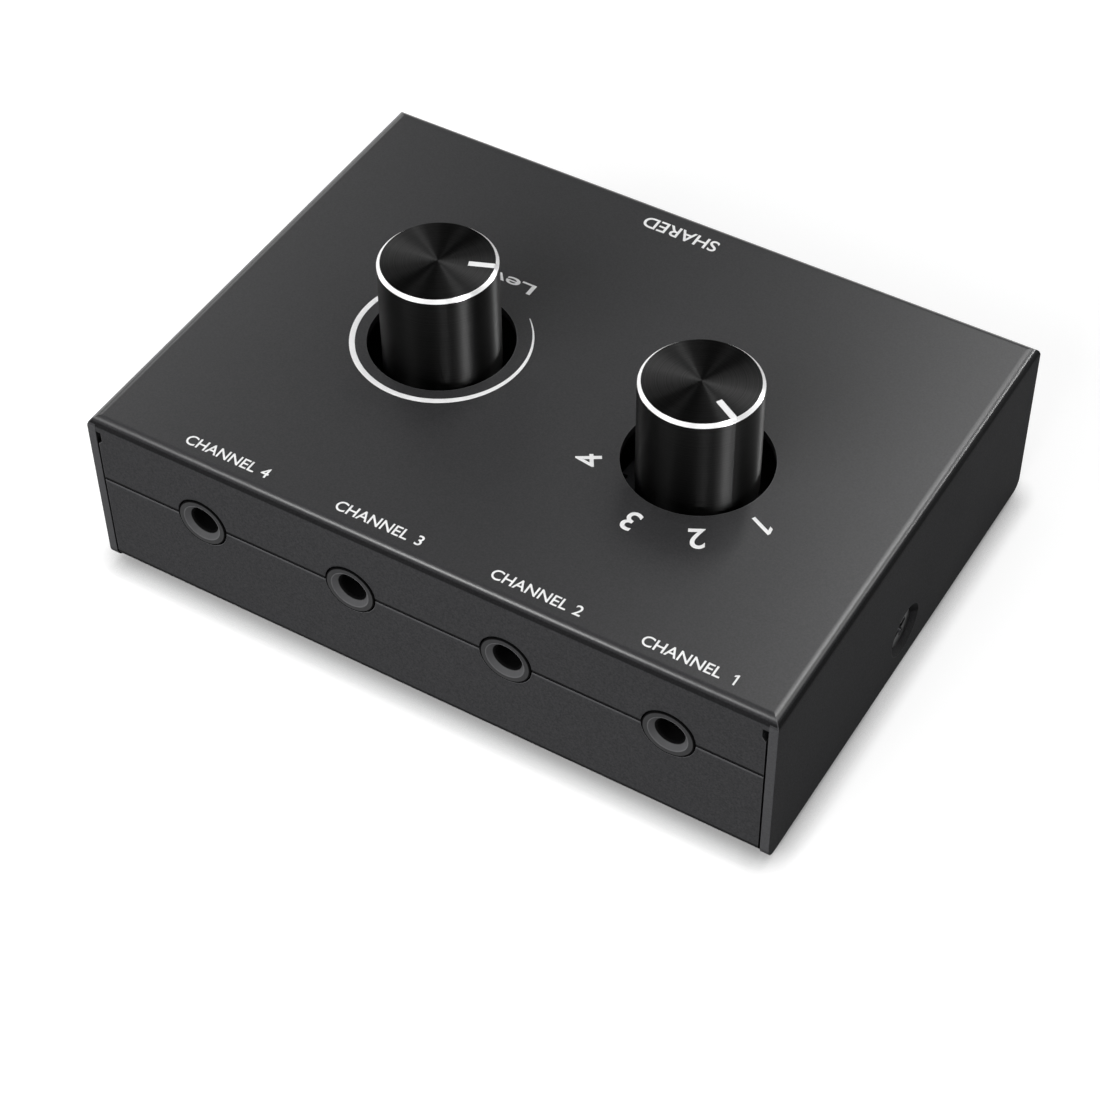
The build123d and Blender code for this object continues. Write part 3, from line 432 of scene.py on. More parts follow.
def powder_coat(coat):
    """Matt charcoal coat: fine grain, polished bends, painted shade in the seams and under the
    bends, painted highlights on the lips, lighter cut edges.
    """
    material, tree, shader, grain, cloud, edges = start_surface(
        "powder_coat", coat.colour, coat.grain_size, coat.cloud_size, coat.edge_radius
    )
    gap_shade = place_group(tree, shared_group("Painted gap shade", build_gaps), Reach=coat.gap_reach)
    between, wall_ends, height = end_faces(tree)
    upper = calc(tree, "GREATER_THAN", height, case_high.z - bend_depth)
    slope = slope_of(tree, new_node(tree, "ShaderNodeNewGeometry").outputs["Normal"])
    # painted highlight: edges whose rounded normal faces up are painted lighter, as if lit from
    # above
    rising = ramp(tree, slope_of(tree, edges["Normal"]), (0.48, 0.0), (0.5, 0.35), (0.7, 1.0))
    lips = calc(tree, "MULTIPLY", edges["Edge"], rising)
    painted_shade, painted_seam_highlight = seam_lips(tree, coat, between, height)

    # painted shade: tone darkens the coat towards black under the bends, where the sheet turns down
    # and over the seam; the lit lips lift it back
    tone = calc(tree, "MAXIMUM", bend_tone(tree, slope, upper, coat.under_bend), lips)
    tone = calc(tree, "MINIMUM", tone, calc(tree, "SUBTRACT", 1.0, painted_shade))
    body = mix_colours(tree, grain["Shade"], shade(coat.colour, 0.5), shade(coat.colour, 1.5))
    body = mix_colours(tree, tone, BLACK, body)
    cut = calc(tree, "MULTIPLY", wall_ends, coat.cut_edge)
    # thin coat on the cut edges, and painted highlights on the lips and under the seam, all in the
    # edge colour
    thin = calc(tree, "MAXIMUM", calc(tree, "MAXIMUM", lips, painted_seam_highlight), cut)
    body = mix_colours(tree, thin, body, tuple(coat.edge_colour))
    # painted shade: the coat is darkened deep in seams and slits
    body = mix_colours(tree, gap_shade["Open"], shade(coat.colour, 0.1), body)

    sheen = spread(tree, cloud, coat.roughness - 0.07, coat.roughness + 0.07)
    relief = bump(tree, grain["Height"], coat.grain_depth, edges["Normal"])
    dress(tree, shader, body, sheen, relief)
    polish = ramp(tree, slope, (0.87, 0.0), (0.92, 1.0), (0.95, 1.0), (0.98, coat.polish_top))
    feed(tree, shader.inputs["Coat Weight"], calc(tree, "MULTIPLY", polish, upper))
    shader.inputs["Coat Roughness"].default_value = coat.polish_roughness
    shader.inputs["Coat IOR"].default_value = 1.8
    shader.inputs["Specular IOR Level"].default_value = coat.gloss
    return material


def bend_tone(tree, slope, upper, dark):
    """Painted shade: 1 on walls and the top, and darker towards black under the top bends and where
    the sheet turns down.
    """
    turned_down = ramp(tree, slope, (0.0, dark), (0.46, dark), (0.5, 1.0))
    under = ramp(tree, slope, (0.6, 1.0), (0.66, dark), (0.79, dark), (0.86, 1.0))
    under = calc(tree, "MAXIMUM", under, calc(tree, "SUBTRACT", 1.0, upper))
    return calc(tree, "MINIMUM", under, turned_down)


def slope_of(tree, normal):
    """0 where a face looks down, 0.5 on a wall and 1 where it looks up."""
    axes = new_node(tree, "ShaderNodeSeparateXYZ")
    feed(tree, axes.inputs["Vector"], normal)
    return calc(tree, "MULTIPLY", calc(tree, "ADD", axes.outputs["Z"], 1.0), 0.5)


def ramp(tree, value, *stops):
    """Level that follows a value through (position, level) stops."""
    node = new_node(tree, "ShaderNodeValToRGB")
    feed(tree, node.inputs["Fac"], value)
    elements = node.color_ramp.elements
    while len(elements) < len(stops):
        elements.new(1.0)
    for element, (position, level) in zip(elements, stops):
        element.position = position
        element.color = (level, level, level, 1.0)
    return node.outputs["Color"]


def end_faces(tree):
    """Front and rear faces: (mask between the side walls, mask of those walls' ends, height)."""
    place, geometry = new_node(tree, "ShaderNodeTexCoord"), new_node(tree, "ShaderNodeNewGeometry")
    axes, facing = new_node(tree, "ShaderNodeSeparateXYZ"), new_node(tree, "ShaderNodeSeparateXYZ")
    feed(tree, axes.inputs["Vector"], place.outputs["Object"])
    feed(tree, facing.inputs["Vector"], geometry.outputs["Normal"])
    aside = calc(tree, "ABSOLUTE", axes.outputs["X"])
    in_wall = calc(tree, "GREATER_THAN", aside, case_high.x - sheet)
    lengthwise = calc(tree, "GREATER_THAN", calc(tree, "ABSOLUTE", facing.outputs["Y"]), 0.9)
    wall_ends = calc(tree, "MULTIPLY", in_wall, lengthwise)
    return calc(tree, "SUBTRACT", lengthwise, wall_ends), wall_ends, axes.outputs["Z"]


def seam_lips(tree, coat, between, height):
    """Painted shade on the rolled lip over the seam, and a painted highlight on the lip under it.
    """
    reach = 10 * coat.lip_width
    near_seam = new_node(tree, "ShaderNodeMapRange")
    feed(tree, near_seam.inputs["Value"], height)
    feed(tree, near_seam.inputs["From Min"], seam_z - reach)
    feed(tree, near_seam.inputs["From Max"], seam_z + reach)
    across = near_seam.outputs["Result"]
    painted_shade = ramp(tree, across, (0.48, 0.0), (0.5, 0.85), (0.58, 0.85), (0.62, 0.0))
    painted_seam_highlight = ramp(tree, across, (0.38, 0.0), (0.41, 0.35), (0.46, 0.35), (0.48, 0.0))
    return calc(tree, "MULTIPLY", painted_shade, between), calc(tree, "MULTIPLY", painted_seam_highlight, between)


def knob_metal(knob):
    """Black anodised aluminium with lathe marks and a bare rim cut at the top."""
    material, tree, shader = start_material("knob_black", knob.colour)
    turned = place_group(
        tree,
        shared_group("Turned", build_turned),
        Diameter=2 * knob_radius,
        Length=knob_height,
        Pitch=knob.groove_pitch,
    )
    slack = 0.03 * MM
    outside = calc(tree, "GREATER_THAN", turned["Radius"], knob_radius - knob.rim_width - slack)
    near_top = calc(tree, "LESS_THAN", turned["Below top"], knob.rim_width + slack)
    rim = calc(tree, "MULTIPLY", outside, near_top)
    dye = mix_colours(tree, turned["Height"], shade(knob.colour, 0.5), shade(knob.colour, 1.5))
    feed(tree, shader.inputs["Base Color"], mix_colours(tree, rim, dye, tuple(knob.rim_colour)))
    feed(tree, shader.inputs["Roughness"], spread(tree, turned["Height"], 0.37, 0.45))
    feed(tree, shader.inputs["Normal"], bump(tree, turned["Height"], knob.groove_depth))
    # the rim is partly matt white: painted reflection in place of the bare metal's bright
    # reflection
    feed(tree, shader.inputs["Metallic"], spread(tree, rim, 1.0, knob.rim_metal))
    around = new_node(tree, "ShaderNodeTangent", direction_type="RADIAL", axis="Z")
    feed(tree, shader.inputs["Tangent"], around.outputs["Tangent"])
    shader.inputs["Anisotropic"].default_value = 0.95
    shader.inputs["Anisotropic Rotation"].default_value = 0.25
    return material


def moulded(name, colour, roughness, grain_size):
    """Moulded plastic, rubber or laminate: fine grain, uneven gloss, painted shade in recesses.

    Dark ones are paler on their edges, partly wear and partly painted highlight.
    """
    material, tree, shader, grain, cloud, edges = start_surface(
        name, colour, grain_size, cloud_size=30 * grain_size, edge_radius=0.08 * MM
    )
    gap_shade = place_group(tree, shared_group("Painted gap shade", build_gaps), Reach=0.5 * MM)
    body = mix_colours(tree, cloud, shade(colour, 0.8), shade(colour, 1.2))
    # paler edges: partly wear, partly painted highlight
    if colour[0] < 0.3:
        worn = calc(tree, "MULTIPLY", edges["Edge"], 0.5)
        body = mix_colours(tree, worn, body, shade(colour, 3.0))
    # painted shade: darker deep in recesses
    body = mix_colours(tree, gap_shade["Open"], shade(colour, 0.1), body)
    sheen = spread(tree, cloud, roughness - 0.08, roughness + 0.08)
    relief = bump(tree, grain["Height"], 0.02 * grain_size, edges["Normal"])
    dress(tree, shader, body, sheen, relief)
    shader.inputs["Specular IOR Level"].default_value = 0.4
    return material


def from_bore(tree, bores):
    """Distance to the axis of the nearest bore, as a share of socket_reach."""
    place = new_node(tree, "ShaderNodeTexCoord")
    axes = new_node(tree, "ShaderNodeSeparateXYZ")
    feed(tree, axes.inputs["Vector"], place.outputs["Object"])
    across = socket_reach
    for bore in bores:
        aside = calc(tree, "ABSOLUTE", calc(tree, "SUBTRACT", axes.outputs["X"], bore))
        across = calc(tree, "MINIMUM", aside, across)
    above = calc(tree, "ABSOLUTE", calc(tree, "SUBTRACT", axes.outputs["Z"], seam_z))
    squares = [calc(tree, "POWER", value, 2.0) for value in (across, above)]
    distance = calc(tree, "POWER", calc(tree, "ADD", *squares), 0.5)
    return calc(tree, "DIVIDE", distance, socket_reach)


def socket_plastic(bores, colour, worn_and_lit_colour):
    """Black moulding whose entry is paler, part plug wear and part painted light, with painted
    shade in the bore and on the outline.
    """
    material, tree, shader, grain, cloud, edges = start_surface(
        "socket_plastic", colour, grain_size=0.1 * MM, cloud_size=2 * MM, edge_radius=0.08 * MM
    )
    radius = from_bore(tree, bores)
    # cone paler: partly plug wear, partly painted light; a painted highlight line rings its outer
    # edge
    cone = ((0.51, 0.0), (0.53, 0.7), (0.65, 0.7))
    rim = ((0.665, 1.0), (0.685, 1.0), (0.7, 0.0))
    worn = ramp(tree, radius, *cone, *rim)
    # painted shade: black in the bore and on the outline round the ring
    painted_shade = ramp(tree, radius, (0.51, 1.0), (0.53, 0.0), (0.83, 0.0), (0.85, 1.0))
    body = mix_colours(tree, cloud, shade(colour, 0.8), shade(colour, 1.2))
    body = mix_colours(tree, worn, body, shade(worn_and_lit_colour, 1.0))
    body = mix_colours(tree, painted_shade, body, shade(colour, 0.1))
    sheen = calc(tree, "MAXIMUM", spread(tree, cloud, 0.3, 0.44), painted_shade)
    relief = bump(tree, grain["Height"], 0.002 * MM, edges["Normal"])
    dress(tree, shader, body, sheen, relief)
    shader.inputs["Specular IOR Level"].default_value = 0.03
    return material


def plated(name, colour, roughness):
    """Plated or bright metal with a light grain, dulled in clouds and worn on its edges."""
    material, tree, shader, grain, cloud, edges = start_surface(
        name, colour, grain_size=0.12 * MM, cloud_size=4 * MM, edge_radius=0.06 * MM
    )
    body = mix_colours(tree, cloud, shade(colour, 0.75), shade(colour, 1.15))
    body = mix_colours(tree, edges["Edge"], body, shade(colour, 1.3))
    sheen = spread(tree, cloud, roughness - 0.08, roughness + 0.1)
    relief = bump(tree, grain["Height"], 0.002 * MM, edges["Normal"])
    dress(tree, shader, body, sheen, relief)
    shader.inputs["Metallic"].default_value = 1.0
    return material


# ------------------------------------------------------------------ mesh helpers
def in_scene(name, data):
    """New object of that data, linked to the scene."""
    thing = bpy.data.objects.new(name, data)
    bpy.context.scene.collection.objects.link(thing)
    return thing


def mesh_from(made):
    """Blender mesh of a bmesh, with clean outward faces."""
    bmesh.ops.remove_doubles(made, verts=made.verts, dist=weld)
    bmesh.ops.recalc_face_normals(made, faces=made.faces)
    mesh = bpy.data.meshes.new("made")
    made.to_mesh(mesh)
    made.free()
    return mesh


def add_piece(name, mesh, material, body="chassis"):
    """Object of that mesh, smooth but for its sharp edges, riding on a body."""
    mesh.name = name
    mesh.materials.clear()
    mesh.materials.append(material)
    mesh.shade_smooth()
    mesh.set_sharp_from_angle(angle=math.radians(30))
    piece = in_scene(name, mesh)
    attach(piece, body)
    return piece


def finish_nodes(material, *names):
    """Gives CAD nodes their material and smooth shading."""
    for name in names:
        mesh = frame["nodes"][name].data
        mesh.materials.clear()
        mesh.materials.append(material)
        mesh.shade_smooth()


def lathe(profile, segments):
    """Closed solid turned about Z from (radius, height) points that start and end on the axis."""
    made = bmesh.new()
    points = [made.verts.new((radius, 0, height)) for radius, height in profile]
    for first, second in zip(points, points[1:]):
        made.edges.new((first, second))
    bmesh.ops.spin(
        made,
        geom=made.verts[:] + made.edges[:],
        axis=(0, 0, 1),
        cent=(0, 0, 0),
        angle=math.tau,
        steps=segments,
    )
    return mesh_from(made)


def cut_away(mesh, cutters):
    """The mesh less each cutter."""
    body = in_scene("body", mesh)
    tools = [in_scene("tool", cutter) for cutter in cutters]
    for tool in tools:
        step = body.modifiers.new("cut", "BOOLEAN")
        step.operation = "DIFFERENCE"
        step.solver = "EXACT"
        step.object = tool
    graph = bpy.context.evaluated_depsgraph_get()
    result = bpy.data.meshes.new_from_object(body.evaluated_get(graph))
    for spent in (body, *tools):
        bpy.data.objects.remove(spent)
    return result


def flat_text(text, height, width=None):
    """Outline of the text lying flat and centred, that high and, where it is given, that wide."""
    curve = bpy.data.curves.new("text", "FONT")
    curve.body = text
    curve.resolution_u = 8
    curve.offset = 0.012
    source = in_scene("text", curve)
    bpy.context.view_layer.update()
    graph = bpy.context.evaluated_depsgraph_get()
    mesh = bpy.data.meshes.new_from_object(source.evaluated_get(graph))
    bpy.data.objects.remove(source)
    low = Vector(map(min, *(vertex.co for vertex in mesh.vertices)))
    high = Vector(map(max, *(vertex.co for vertex in mesh.vertices)))
    size = high - low
    scale_y = height / size.y
    scale_x = width / size.x if width else scale_y
    middle = (low + high) / 2
    mesh.transform(Matrix.Diagonal((scale_x, scale_y, 1, 1)) @ Matrix.Translation(-middle))
    return mesh


def digit_outline(number, height):
    """Outline of a digit lying flat, centred; the 1 has a flag."""
    if number != 1:
        return flat_text(str(number), height)
    stem = ((-0.03, -0.5), (0.12, -0.5), (0.12, 0.5), (0.0, 0.5))
    flag = ((-0.21, 0.36), (-0.21, 0.2), (-0.03, 0.32))
    made = bmesh.new()
    made.faces.new([made.verts.new((x * height, y * height, 0)) for x, y in stem + flag])
    return mesh_from(made)


def label_outline(number, height, width):
    """Outline of a socket's word at the left end, and of its number at the right end."""
    word_width = 0.84 * width
    words = flat_text("CHANNEL", height, word_width)
    words.transform(Matrix.Translation(((word_width - width) / 2, 0, 0)))
    digit = digit_outline(number, height)
    right = max(vertex.co.x for vertex in digit.vertices)
    digit.transform(Matrix.Translation((width / 2 - right, 0, 0)))
    made = bmesh.new()
    for outline in (words, digit):
        made.from_mesh(outline)
    return mesh_from(made)


def inked(mesh, thickness):
    """The flat outline as a thin layer of ink that stands on z 0."""
    made = bmesh.new()
    made.from_mesh(mesh)
    bmesh.ops.remove_doubles(made, verts=made.verts, dist=weld)
    layer = bmesh.ops.extrude_face_region(made, geom=made.faces[:])
    raised = [item for item in layer["geom"] if isinstance(item, bmesh.types.BMVert)]
    bmesh.ops.translate(made, verts=raised, vec=(0, 0, thickness))
    return mesh_from(made)


def on_cover(x, y, turn):
    """Place on top of the cover, with its own x axis turned by that angle."""
    sunk = 0.004 * MM
    return Matrix.Translation((x, y, case_high.z - sunk)) @ Matrix.Rotation(turn, 4, "Z")


# ------------------------------------------------------------------ operators
class SELECTOR_OT_case(bpy.types.Operator):
    """Powder coat on the cover and the tray"""

    bl_idname = "selector.case"
    bl_label = "Finish the case"

    def execute(self, context):
        finish_nodes(powder_coat(context.scene.selector_coat), "top_cover", "bottom_tray")
        return {"FINISHED"}


class SELECTOR_OT_screws(bpy.types.Operator):
    """Side screws with their threads and cross recesses"""

    bl_idname = "selector.screws"
    bl_label = "Make the side screws"

    def recess_arm(self, screw, turn):
        """One tapered arm of the cross recess, with its wide end up."""
        made = bmesh.new()
        bmesh.ops.create_cube(made, size=1.0)
        proud = 0.2 * MM
        foot_span, foot_width = 0.35 * screw.recess_span, 0.6 * screw.recess_width
        for vertex in made.verts:
            deep = vertex.co.z < 0
            span = foot_span if deep else screw.recess_span
            width = foot_width if deep else screw.recess_width
            height = -screw.recess_depth if deep else proud
            vertex.co = (vertex.co.x * span, vertex.co.y * width, height)
        bmesh.ops.rotate(made, verts=made.verts, matrix=Matrix.Rotation(turn, 3, "Z"))
        return mesh_from(made)

    def screw_mesh(self, screw, head_radius):
        """Countersunk screw that points down, with the face of its head at z 0."""
        head_depth = head_radius - screw.shank_radius
        land = 0.15 * MM
        profile = [
            (0, 0),
            (head_radius - land, 0),
            (head_radius, -land),
            (screw.shank_radius, -head_depth),
        ]
        root = screw.shank_radius - screw.thread_depth
        root_share, crest_share = 0.4, 0.9  # places of root and crest in one pitch
        turns = int((screw.length - head_depth) / screw.thread_pitch)
        for turn in range(turns):
            start = -head_depth - turn * screw.thread_pitch
            profile.append((root, start - screw.thread_pitch * root_share))
            profile.append((screw.shank_radius, start - screw.thread_pitch * crest_share))
        profile.append((root, -screw.length))
        profile.append((0, -screw.length))
        slant = 0.35  # radians that the recess is turned
        arms = [self.recess_arm(screw, turn) for turn in (slant, slant + math.pi / 2)]
        return cut_away(lathe(profile, 48), arms)

    def execute(self, context):
        screw = context.scene.selector_screw
        low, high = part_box("side_screws")
        head_radius = (high.z - low.z) / 2
        steel = plated("screw_black", (0.016, 0.016, 0.017), 0.3)
        for side, face in ((-1, low.x), (1, high.x)):
            mesh = self.screw_mesh(screw, head_radius)
            mesh.transform(
                Matrix.Translation((face, (low.y + high.y) / 2, (low.z + high.z) / 2))
                @ Matrix.Rotation(side * math.pi / 2, 4, "Y")
            )
            piece = add_piece("side_screw_left" if side < 0 else "side_screw_right", mesh, steel)
            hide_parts("side_screws")
        return {"FINISHED"}


class SELECTOR_OT_feet(bpy.types.Operator):
    """Black rubber for the feet"""

    bl_idname = "selector.feet"
    bl_label = "Finish the feet"

    def execute(self, context):
        finish_nodes(moulded("foot_rubber", (0.02, 0.02, 0.02), 0.75, 0.15 * MM), "rubber_feet")
        return {"FINISHED"}


class SELECTOR_OT_sockets(bpy.types.Operator):
    """Moulded sockets and the bronze springs inside them"""

    bl_idname = "selector.sockets"
    bl_label = "Finish the sockets"

    def execute(self, context):
        sockets = [name for name in frame["nodes"] if "jack" in name]
        housings = [name for name in sockets if name.endswith("housing")]
        springs = [name for name in sockets if name.endswith("spring")]
        bores = [sum(corner.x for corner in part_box(name)) / 2 for name in housings]
        # the paler colour is plug wear and painted light on the entry cone
        finish_nodes(socket_plastic(bores, (0.03, 0.03, 0.031), (0.09, 0.09, 0.093)), *housings)
        finish_nodes(plated("spring_bronze", (0.6, 0.46, 0.27), 0.35), *springs)
        return {"FINISHED"}


class SELECTOR_OT_board(bpy.types.Operator):
    """Circuit board and the pillars that carry it"""

    bl_idname = "selector.board"
    bl_label = "Finish the board"

    def execute(self, context):
        finish_nodes(moulded("solder_mask", (0.012, 0.016, 0.014), 0.4, 0.3 * MM), "circuit_board")
        finish_nodes(plated("pillar_steel", (0.6, 0.6, 0.58), 0.35), "board_standoffs")
        return {"FINISHED"}


class SELECTOR_OT_mechanisms(bpy.types.Operator):
    """Volume control and selector switch under the cover"""

    bl_idname = "selector.mechanisms"
    bl_label = "Finish the controls"

    def execute(self, context):
        # black zinc, dark partly as painted shade so that the knob holes show black inside
        finish_nodes(
            plated("frame_black_zinc_and_shade", (0.03, 0.03, 0.032), 0.5),
            "volume_pot_frame",
            "selector_frame",
        )
        finish_nodes(
            plated("shaft_steel", (0.62, 0.62, 0.61), 0.3),
            "volume_shaft",
            "selector_shaft",
        )
        finish_nodes(
            plated("contact_tin", (0.7, 0.69, 0.65), 0.3),
            "volume_pot_pins",
            "selector_contacts",
            "selector_bridges",
            "selector_detent_spring",
        )
        finish_nodes(
            moulded("control_plastic", (0.03, 0.03, 0.032), 0.5, 0.12 * MM),
            "volume_pot_base",
            "volume_pot_spacer",
            "volume_lower_wiper",
            "volume_upper_wiper",
            "selector_base",
            "selector_housing",
            "selector_rotor",
            "selector_detent_plunger",
        )
        finish_nodes(
            moulded("track_laminate", (0.2, 0.11, 0.05), 0.45, 0.2 * MM),
            "volume_lower_track",
            "volume_upper_track",
        )
        return {"FINISHED"}


class SELECTOR_OT_knobs(bpy.types.Operator):
    """Black turned knobs, their bare rims, pointers and inserts"""

    bl_idname = "selector.knobs"
    bl_label = "Finish the knobs"

    def execute(self, context):
        finish_nodes(
            knob_metal(context.scene.selector_knob),
            "volume_knob_cap",
            "selector_knob_cap",
        )
        finish_nodes(
            moulded("pointer_white", tuple(context.scene.selector_print.colour), 0.45, 0.1 * MM),
            "volume_pointer",
            "selector_pointer",
        )
        finish_nodes(
            moulded("insert_plastic", (0.03, 0.03, 0.03), 0.5, 0.12 * MM),
            "volume_knob_insert",
            "selector_knob_insert",
        )
        return {"FINISHED"}


class SELECTOR_OT_printing(bpy.types.Operator):
    """White numbers, socket labels and the volume arc on the cover"""

    bl_idname = "selector.printing"
    bl_label = "Print the cover"

    def put(self, name, mesh, place):
        """Thin layer of ink at a place on the cover."""
        ink = bpy.context.scene.selector_print
        material = bpy.data.materials.get("ink_white") or moulded(
            "ink_white", tuple(ink.colour), 0.55, 0.08 * MM
        )
        layer = inked(mesh, ink.thickness)
        layer.transform(place)
        add_piece(name, layer, material)

    def arc_mesh(self, ink):
        """Crescent round the volume knob that widens from its thin end."""
        made = bmesh.new()
        steps, thin_end, growth = 120, 0.14, 1.9
        pairs = []
        for step in range(steps + 1):
            share = step / steps
            angle = ink.arc_start - share * ink.arc_sweep
            inside = ink.arc_outside - ink.arc_width * min(thin_end + growth * share ** 0.8, 1.0)
            pairs.append([
                made.verts.new((radius * math.cos(angle), radius * math.sin(angle), 0))
                for radius in (inside, ink.arc_outside)
            ])
        for (inner, outer), (next_inner, next_outer) in zip(pairs, pairs[1:]):
            made.faces.new((inner, outer, next_outer, next_inner))
        return mesh_from(made)

    def execute(self, context):
        ink = context.scene.selector_print
        for number, (angle, label_x) in enumerate(zip(ink.number_angles, ink.label_places), 1):
            x = selector_axis.x + ink.number_ring * math.cos(angle)
            y = selector_axis.y + ink.number_ring * math.sin(angle)
            digit = digit_outline(number, ink.number_height)
            self.put(f"number_{number}", digit, on_cover(x, y, angle - math.pi / 2))
            label = label_outline(number, ink.label_height, ink.label_width)
            place = on_cover(label_x, case_low.y + ink.label_from_front, 0)
            self.put(f"socket_label_{number}", label, place)
        rear = flat_text("SHARED", ink.rear_height, ink.rear_width)
        place = on_cover(-ink.rear_left, case_high.y - ink.rear_inset, math.pi)
        self.put("socket_label_rear", rear, place)
        level = flat_text("Level", ink.level_height, ink.level_width)
        x, y = volume_axis.x + ink.level_right, volume_axis.y + ink.level_behind
        self.put("level_label", level, on_cover(x, y, math.pi))
        self.put("volume_arc", self.arc_mesh(ink), on_cover(volume_axis.x, volume_axis.y, 0))
        return {"FINISHED"}


class SELECTOR_OT_stage(bpy.types.Operator):
    """Pale floor, soft lamps and the camera"""

    bl_idname = "selector.stage"
    bl_label = "Set the stage"

    def seen_directly(self, tree):
        """1 for rays that show the background: from the camera, off gloss, or through glass."""
        path = new_node(tree, "ShaderNodeLightPath")
        camera, gloss, glass = (
            path.outputs[f"Is {ray} Ray"] for ray in ("Camera", "Glossy", "Transmission")
        )
        return calc(tree, "MAXIMUM", calc(tree, "MAXIMUM", camera, gloss), glass)

    def make_floor(self, stage):
        """Wide pale floor that shows white and keeps the shadow, with a painted shadow close to the
        object.
        """
        made = bmesh.new()
        bmesh.ops.create_circle(made, cap_ends=True, radius=6.0, segments=96)
        floor = in_scene("floor", mesh_from(made))
        floor.location.z = -0.02 * MM
        material, tree, shader = start_material("floor_pale", stage.floor_colour)
        tone = object_noise(tree, scale=40.0, detail=2.0)
        shades = [shade(stage.floor_colour, factor) for factor in (0.99, 1.01)]
        feed(tree, shader.inputs["Base Color"], mix_colours(tree, tone, *shades))
        shader.inputs["Roughness"].default_value = 0.9
        shader.inputs["Specular IOR Level"].default_value = 0.0
        feed(tree, shader.inputs["Emission Color"], WHITE)
        # painted shadow: the white glow fades where the object hems the floor in
        gap_shade = place_group(tree, shared_group("Painted gap shade", build_gaps), Reach=stage.shadow_reach)
        close = calc(tree, "MULTIPLY", gap_shade["Open"], stage.floor_glow)
        glow = calc(tree, "MULTIPLY", self.seen_directly(tree), close)
        feed(tree, shader.inputs["Emission Strength"], glow)
        floor.data.materials.append(material)

    def make_world(self, stage):
        """Even soft light; the background is white, and gloss finds it dark overhead."""
        world = bpy.data.worlds.new("studio")
        bpy.context.scene.world = world
        world.use_nodes = True
        tree = world.node_tree
        tree.nodes.clear()
        place = new_node(tree, "ShaderNodeTexCoord")
        axes = new_node(tree, "ShaderNodeSeparateXYZ")
        feed(tree, axes.inputs["Vector"], place.outputs["Generated"])
        height = new_node(tree, "ShaderNodeMapRange")
        feed(tree, height.inputs["Value"], axes.outputs["Z"])
        height.inputs["From Min"].default_value = 0.06
        height.inputs["From Max"].default_value = 0.2
        path = new_node(tree, "ShaderNodeLightPath")
        overhead = calc(tree, "MULTIPLY", height.outputs["Result"], path.outputs["Is Glossy Ray"])
        shown = mix_colours(tree, overhead, WHITE, (0.03, 0.03, 0.03, 1.0))
        plain = (stage.ambient, stage.ambient, stage.ambient, 1.0)
        colour = mix_colours(tree, self.seen_directly(tree), plain, shown)
        background = new_node(tree, "ShaderNodeBackground")
        feed(tree, background.inputs["Color"], colour)
        output = new_node(tree, "ShaderNodeOutputWorld")
        tree.links.new(background.outputs["Background"], output.inputs["Surface"])

    def aim_at(self, point, thing, distance, azimuth, elevation, roll):
        """Puts a lamp or the camera round a point and turns it there; angles are in radians."""
        back = Vector((
            math.sin(azimuth) * math.cos(elevation),
            -math.cos(azimuth) * math.cos(elevation),
            math.sin(elevation),
        ))
        thing.location = Vector(point) + back * distance
        turned = back.to_track_quat("Z", "Y").to_matrix() @ Matrix.Rotation(roll, 3, "Z")
        thing.rotation_euler = turned.to_euler()

    def make_lamp(self, name, azimuth, elevation, distance, width, height, brightness, roll=0.0):
        """Lamp that looks at the middle of the cover; its angles are in degrees."""
        lamp = bpy.data.lights.new(name, "AREA")
        lamp.shape = "RECTANGLE"
        lamp.size, lamp.size_y = width, height
        lamp.energy = brightness * math.pi * width * height
        holder = in_scene(name, lamp)
        angles = [math.radians(angle) for angle in (azimuth, elevation, roll)]
        self.aim_at((0, 0, case_high.z), holder, distance, *angles)
        holder.visible_camera = False
        return holder

    def make_camera(self, stage):
        """Camera on its azimuth, elevation and roll about the point that it looks at."""
        camera = in_scene("camera", bpy.data.cameras.new("camera"))
        camera.data.lens = stage.lens
        camera.data.clip_start = 0.01
        angles = (stage.azimuth, stage.elevation, stage.roll)
        self.aim_at(stage.aim, camera, stage.distance, *angles)
        bpy.context.scene.camera = camera

    def execute(self, context):
        stage = context.scene.selector_stage
        context.scene.view_settings.view_transform = "Standard"
        self.make_floor(stage)
        self.make_world(stage)
        self.make_camera(stage)
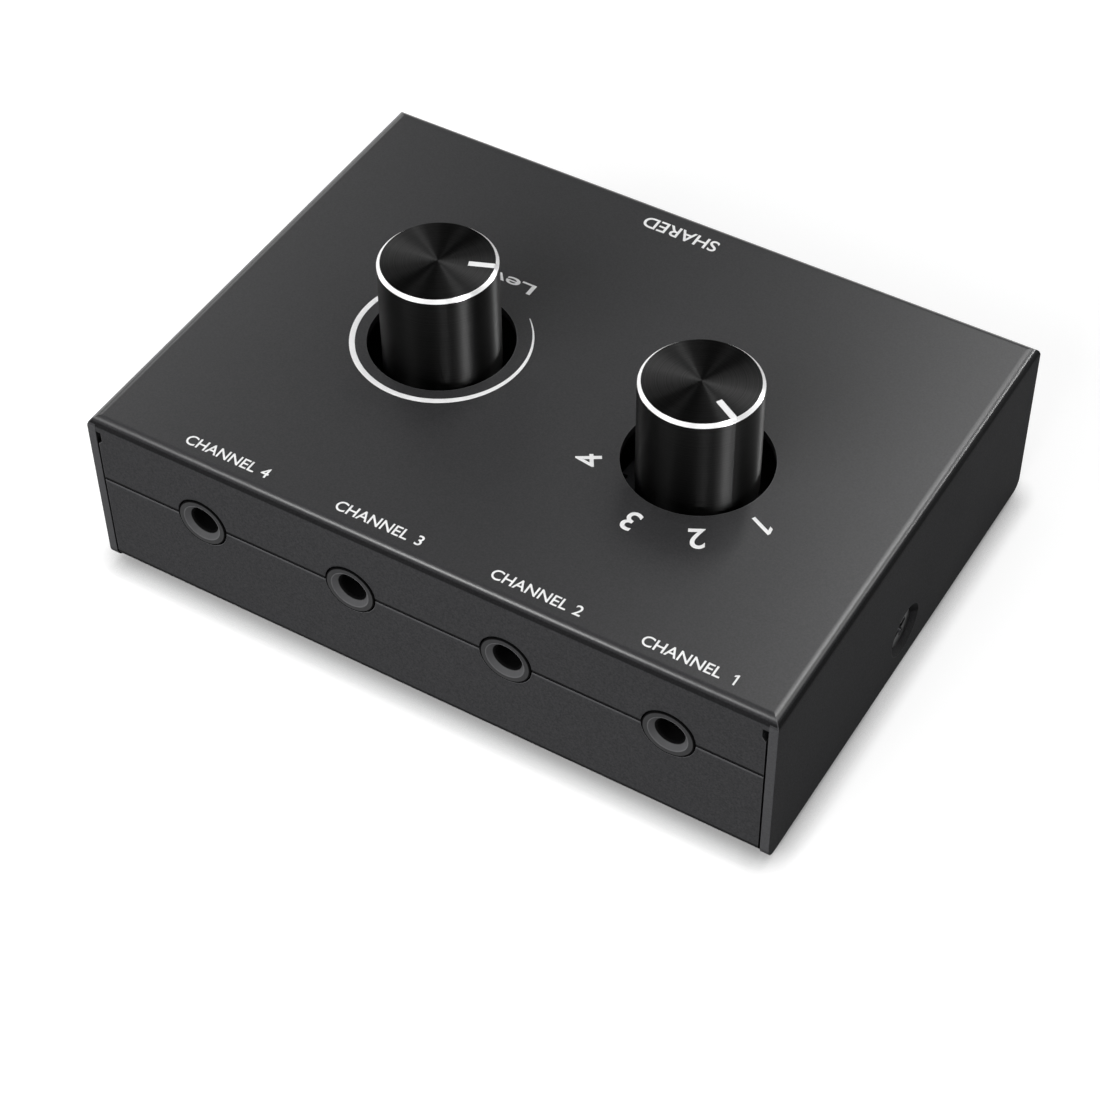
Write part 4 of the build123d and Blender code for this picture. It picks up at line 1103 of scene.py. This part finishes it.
        # name, azimuth, elevation, distance, width, height, brightness, roll
        fills = (
            ("fill_front", 345, 25, 0.8, 0.8, 0.5, stage.fill_front),
            ("fill_top", 112, 78, 0.26, 0.3, 0.3, stage.fill_top),
        )
        accents = (
            ("back_right", 176, 46, 0.8, 0.4, 0.5, stage.back),
            ("back_left", 234, 28, 0.8, 0.5, 0.28, 0.75 * stage.back, 39),
            ("edge_right", 151, 49, 0.7, 0.2, 0.14, 0.9 * stage.edges, 49.6),
            ("edge_front", 326, 50.5, 0.7, 0.2, 0.14, 1.1 * stage.edges, -48.3),
            ("rim", 31.5, 47, 0.8, 0.14, 0.14, stage.rim),
            ("low", 38, 13, 0.6, 0.1, 0.1, 4 * stage.rim),
            ("strip_front", 73.5, 25, 0.6, 0.12, 0.36, 1.35 * stage.strips),
            ("strip_rear", 141, 4, 0.6, 0.08, 0.26, 2 * stage.strips),
            ("strip_left", 277, 25, 0.6, 0.05, 0.36, 0.4 * stage.strips),
        )
        for placing in fills:  # they light the colours and leave no reflection
            self.make_lamp(*placing).visible_glossy = False
        for placing in accents:  # they are seen only in reflections
            self.make_lamp(*placing).visible_diffuse = False
        return {"FINISHED"}


STEPS = (
    SELECTOR_OT_case,
    SELECTOR_OT_screws,
    SELECTOR_OT_feet,
    SELECTOR_OT_sockets,
    SELECTOR_OT_board,
    SELECTOR_OT_mechanisms,
    SELECTOR_OT_knobs,
    SELECTOR_OT_printing,
    SELECTOR_OT_stage,
)


class SELECTOR_PT_panel(bpy.types.Panel):
    """Lists the steps that dress the selector switch"""

    bl_idname = "SELECTOR_PT_panel"
    bl_label = "Selector switch"
    bl_space_type = "VIEW_3D"
    bl_region_type = "UI"
    bl_category = "Selector switch"

    def draw(self, context):
        for step in STEPS:
            self.layout.operator(step.bl_idname)
        for label in SETTINGS:
            box = self.layout.box()
            group = getattr(context.scene, label)
            for name in group.bl_rna.properties.keys():
                if name not in ("rna_type", "name"):
                    box.prop(group, name)


SETTINGS = {
    "selector_coat": SelectorCoatSettings,
    "selector_knob": SelectorKnobSettings,
    "selector_screw": SelectorScrewSettings,
    "selector_print": SelectorPrintSettings,
    "selector_stage": SelectorStageSettings,
}


def register():
    """Registers the settings, the steps and the panel."""
    for label, kind in SETTINGS.items():
        bpy.utils.register_class(kind)
        setattr(bpy.types.Scene, label, PointerProperty(type=kind))
    for kind in (*STEPS, SELECTOR_PT_panel):
        bpy.utils.register_class(kind)


def unregister():
    """Takes back what register added."""
    for kind in (SELECTOR_PT_panel, *reversed(STEPS)):
        bpy.utils.unregister_class(kind)
    for label, kind in SETTINGS.items():
        delattr(bpy.types.Scene, label)
        bpy.utils.unregister_class(kind)


def main():
    """Runs each step in order."""
    register()
    bpy.ops.selector.case()
    bpy.ops.selector.screws()
    bpy.ops.selector.feet()
    bpy.ops.selector.sockets()
    bpy.ops.selector.board()
    bpy.ops.selector.mechanisms()
    bpy.ops.selector.knobs()
    bpy.ops.selector.printing()
    bpy.ops.selector.stage()


if __name__ == "__main__":
    main()
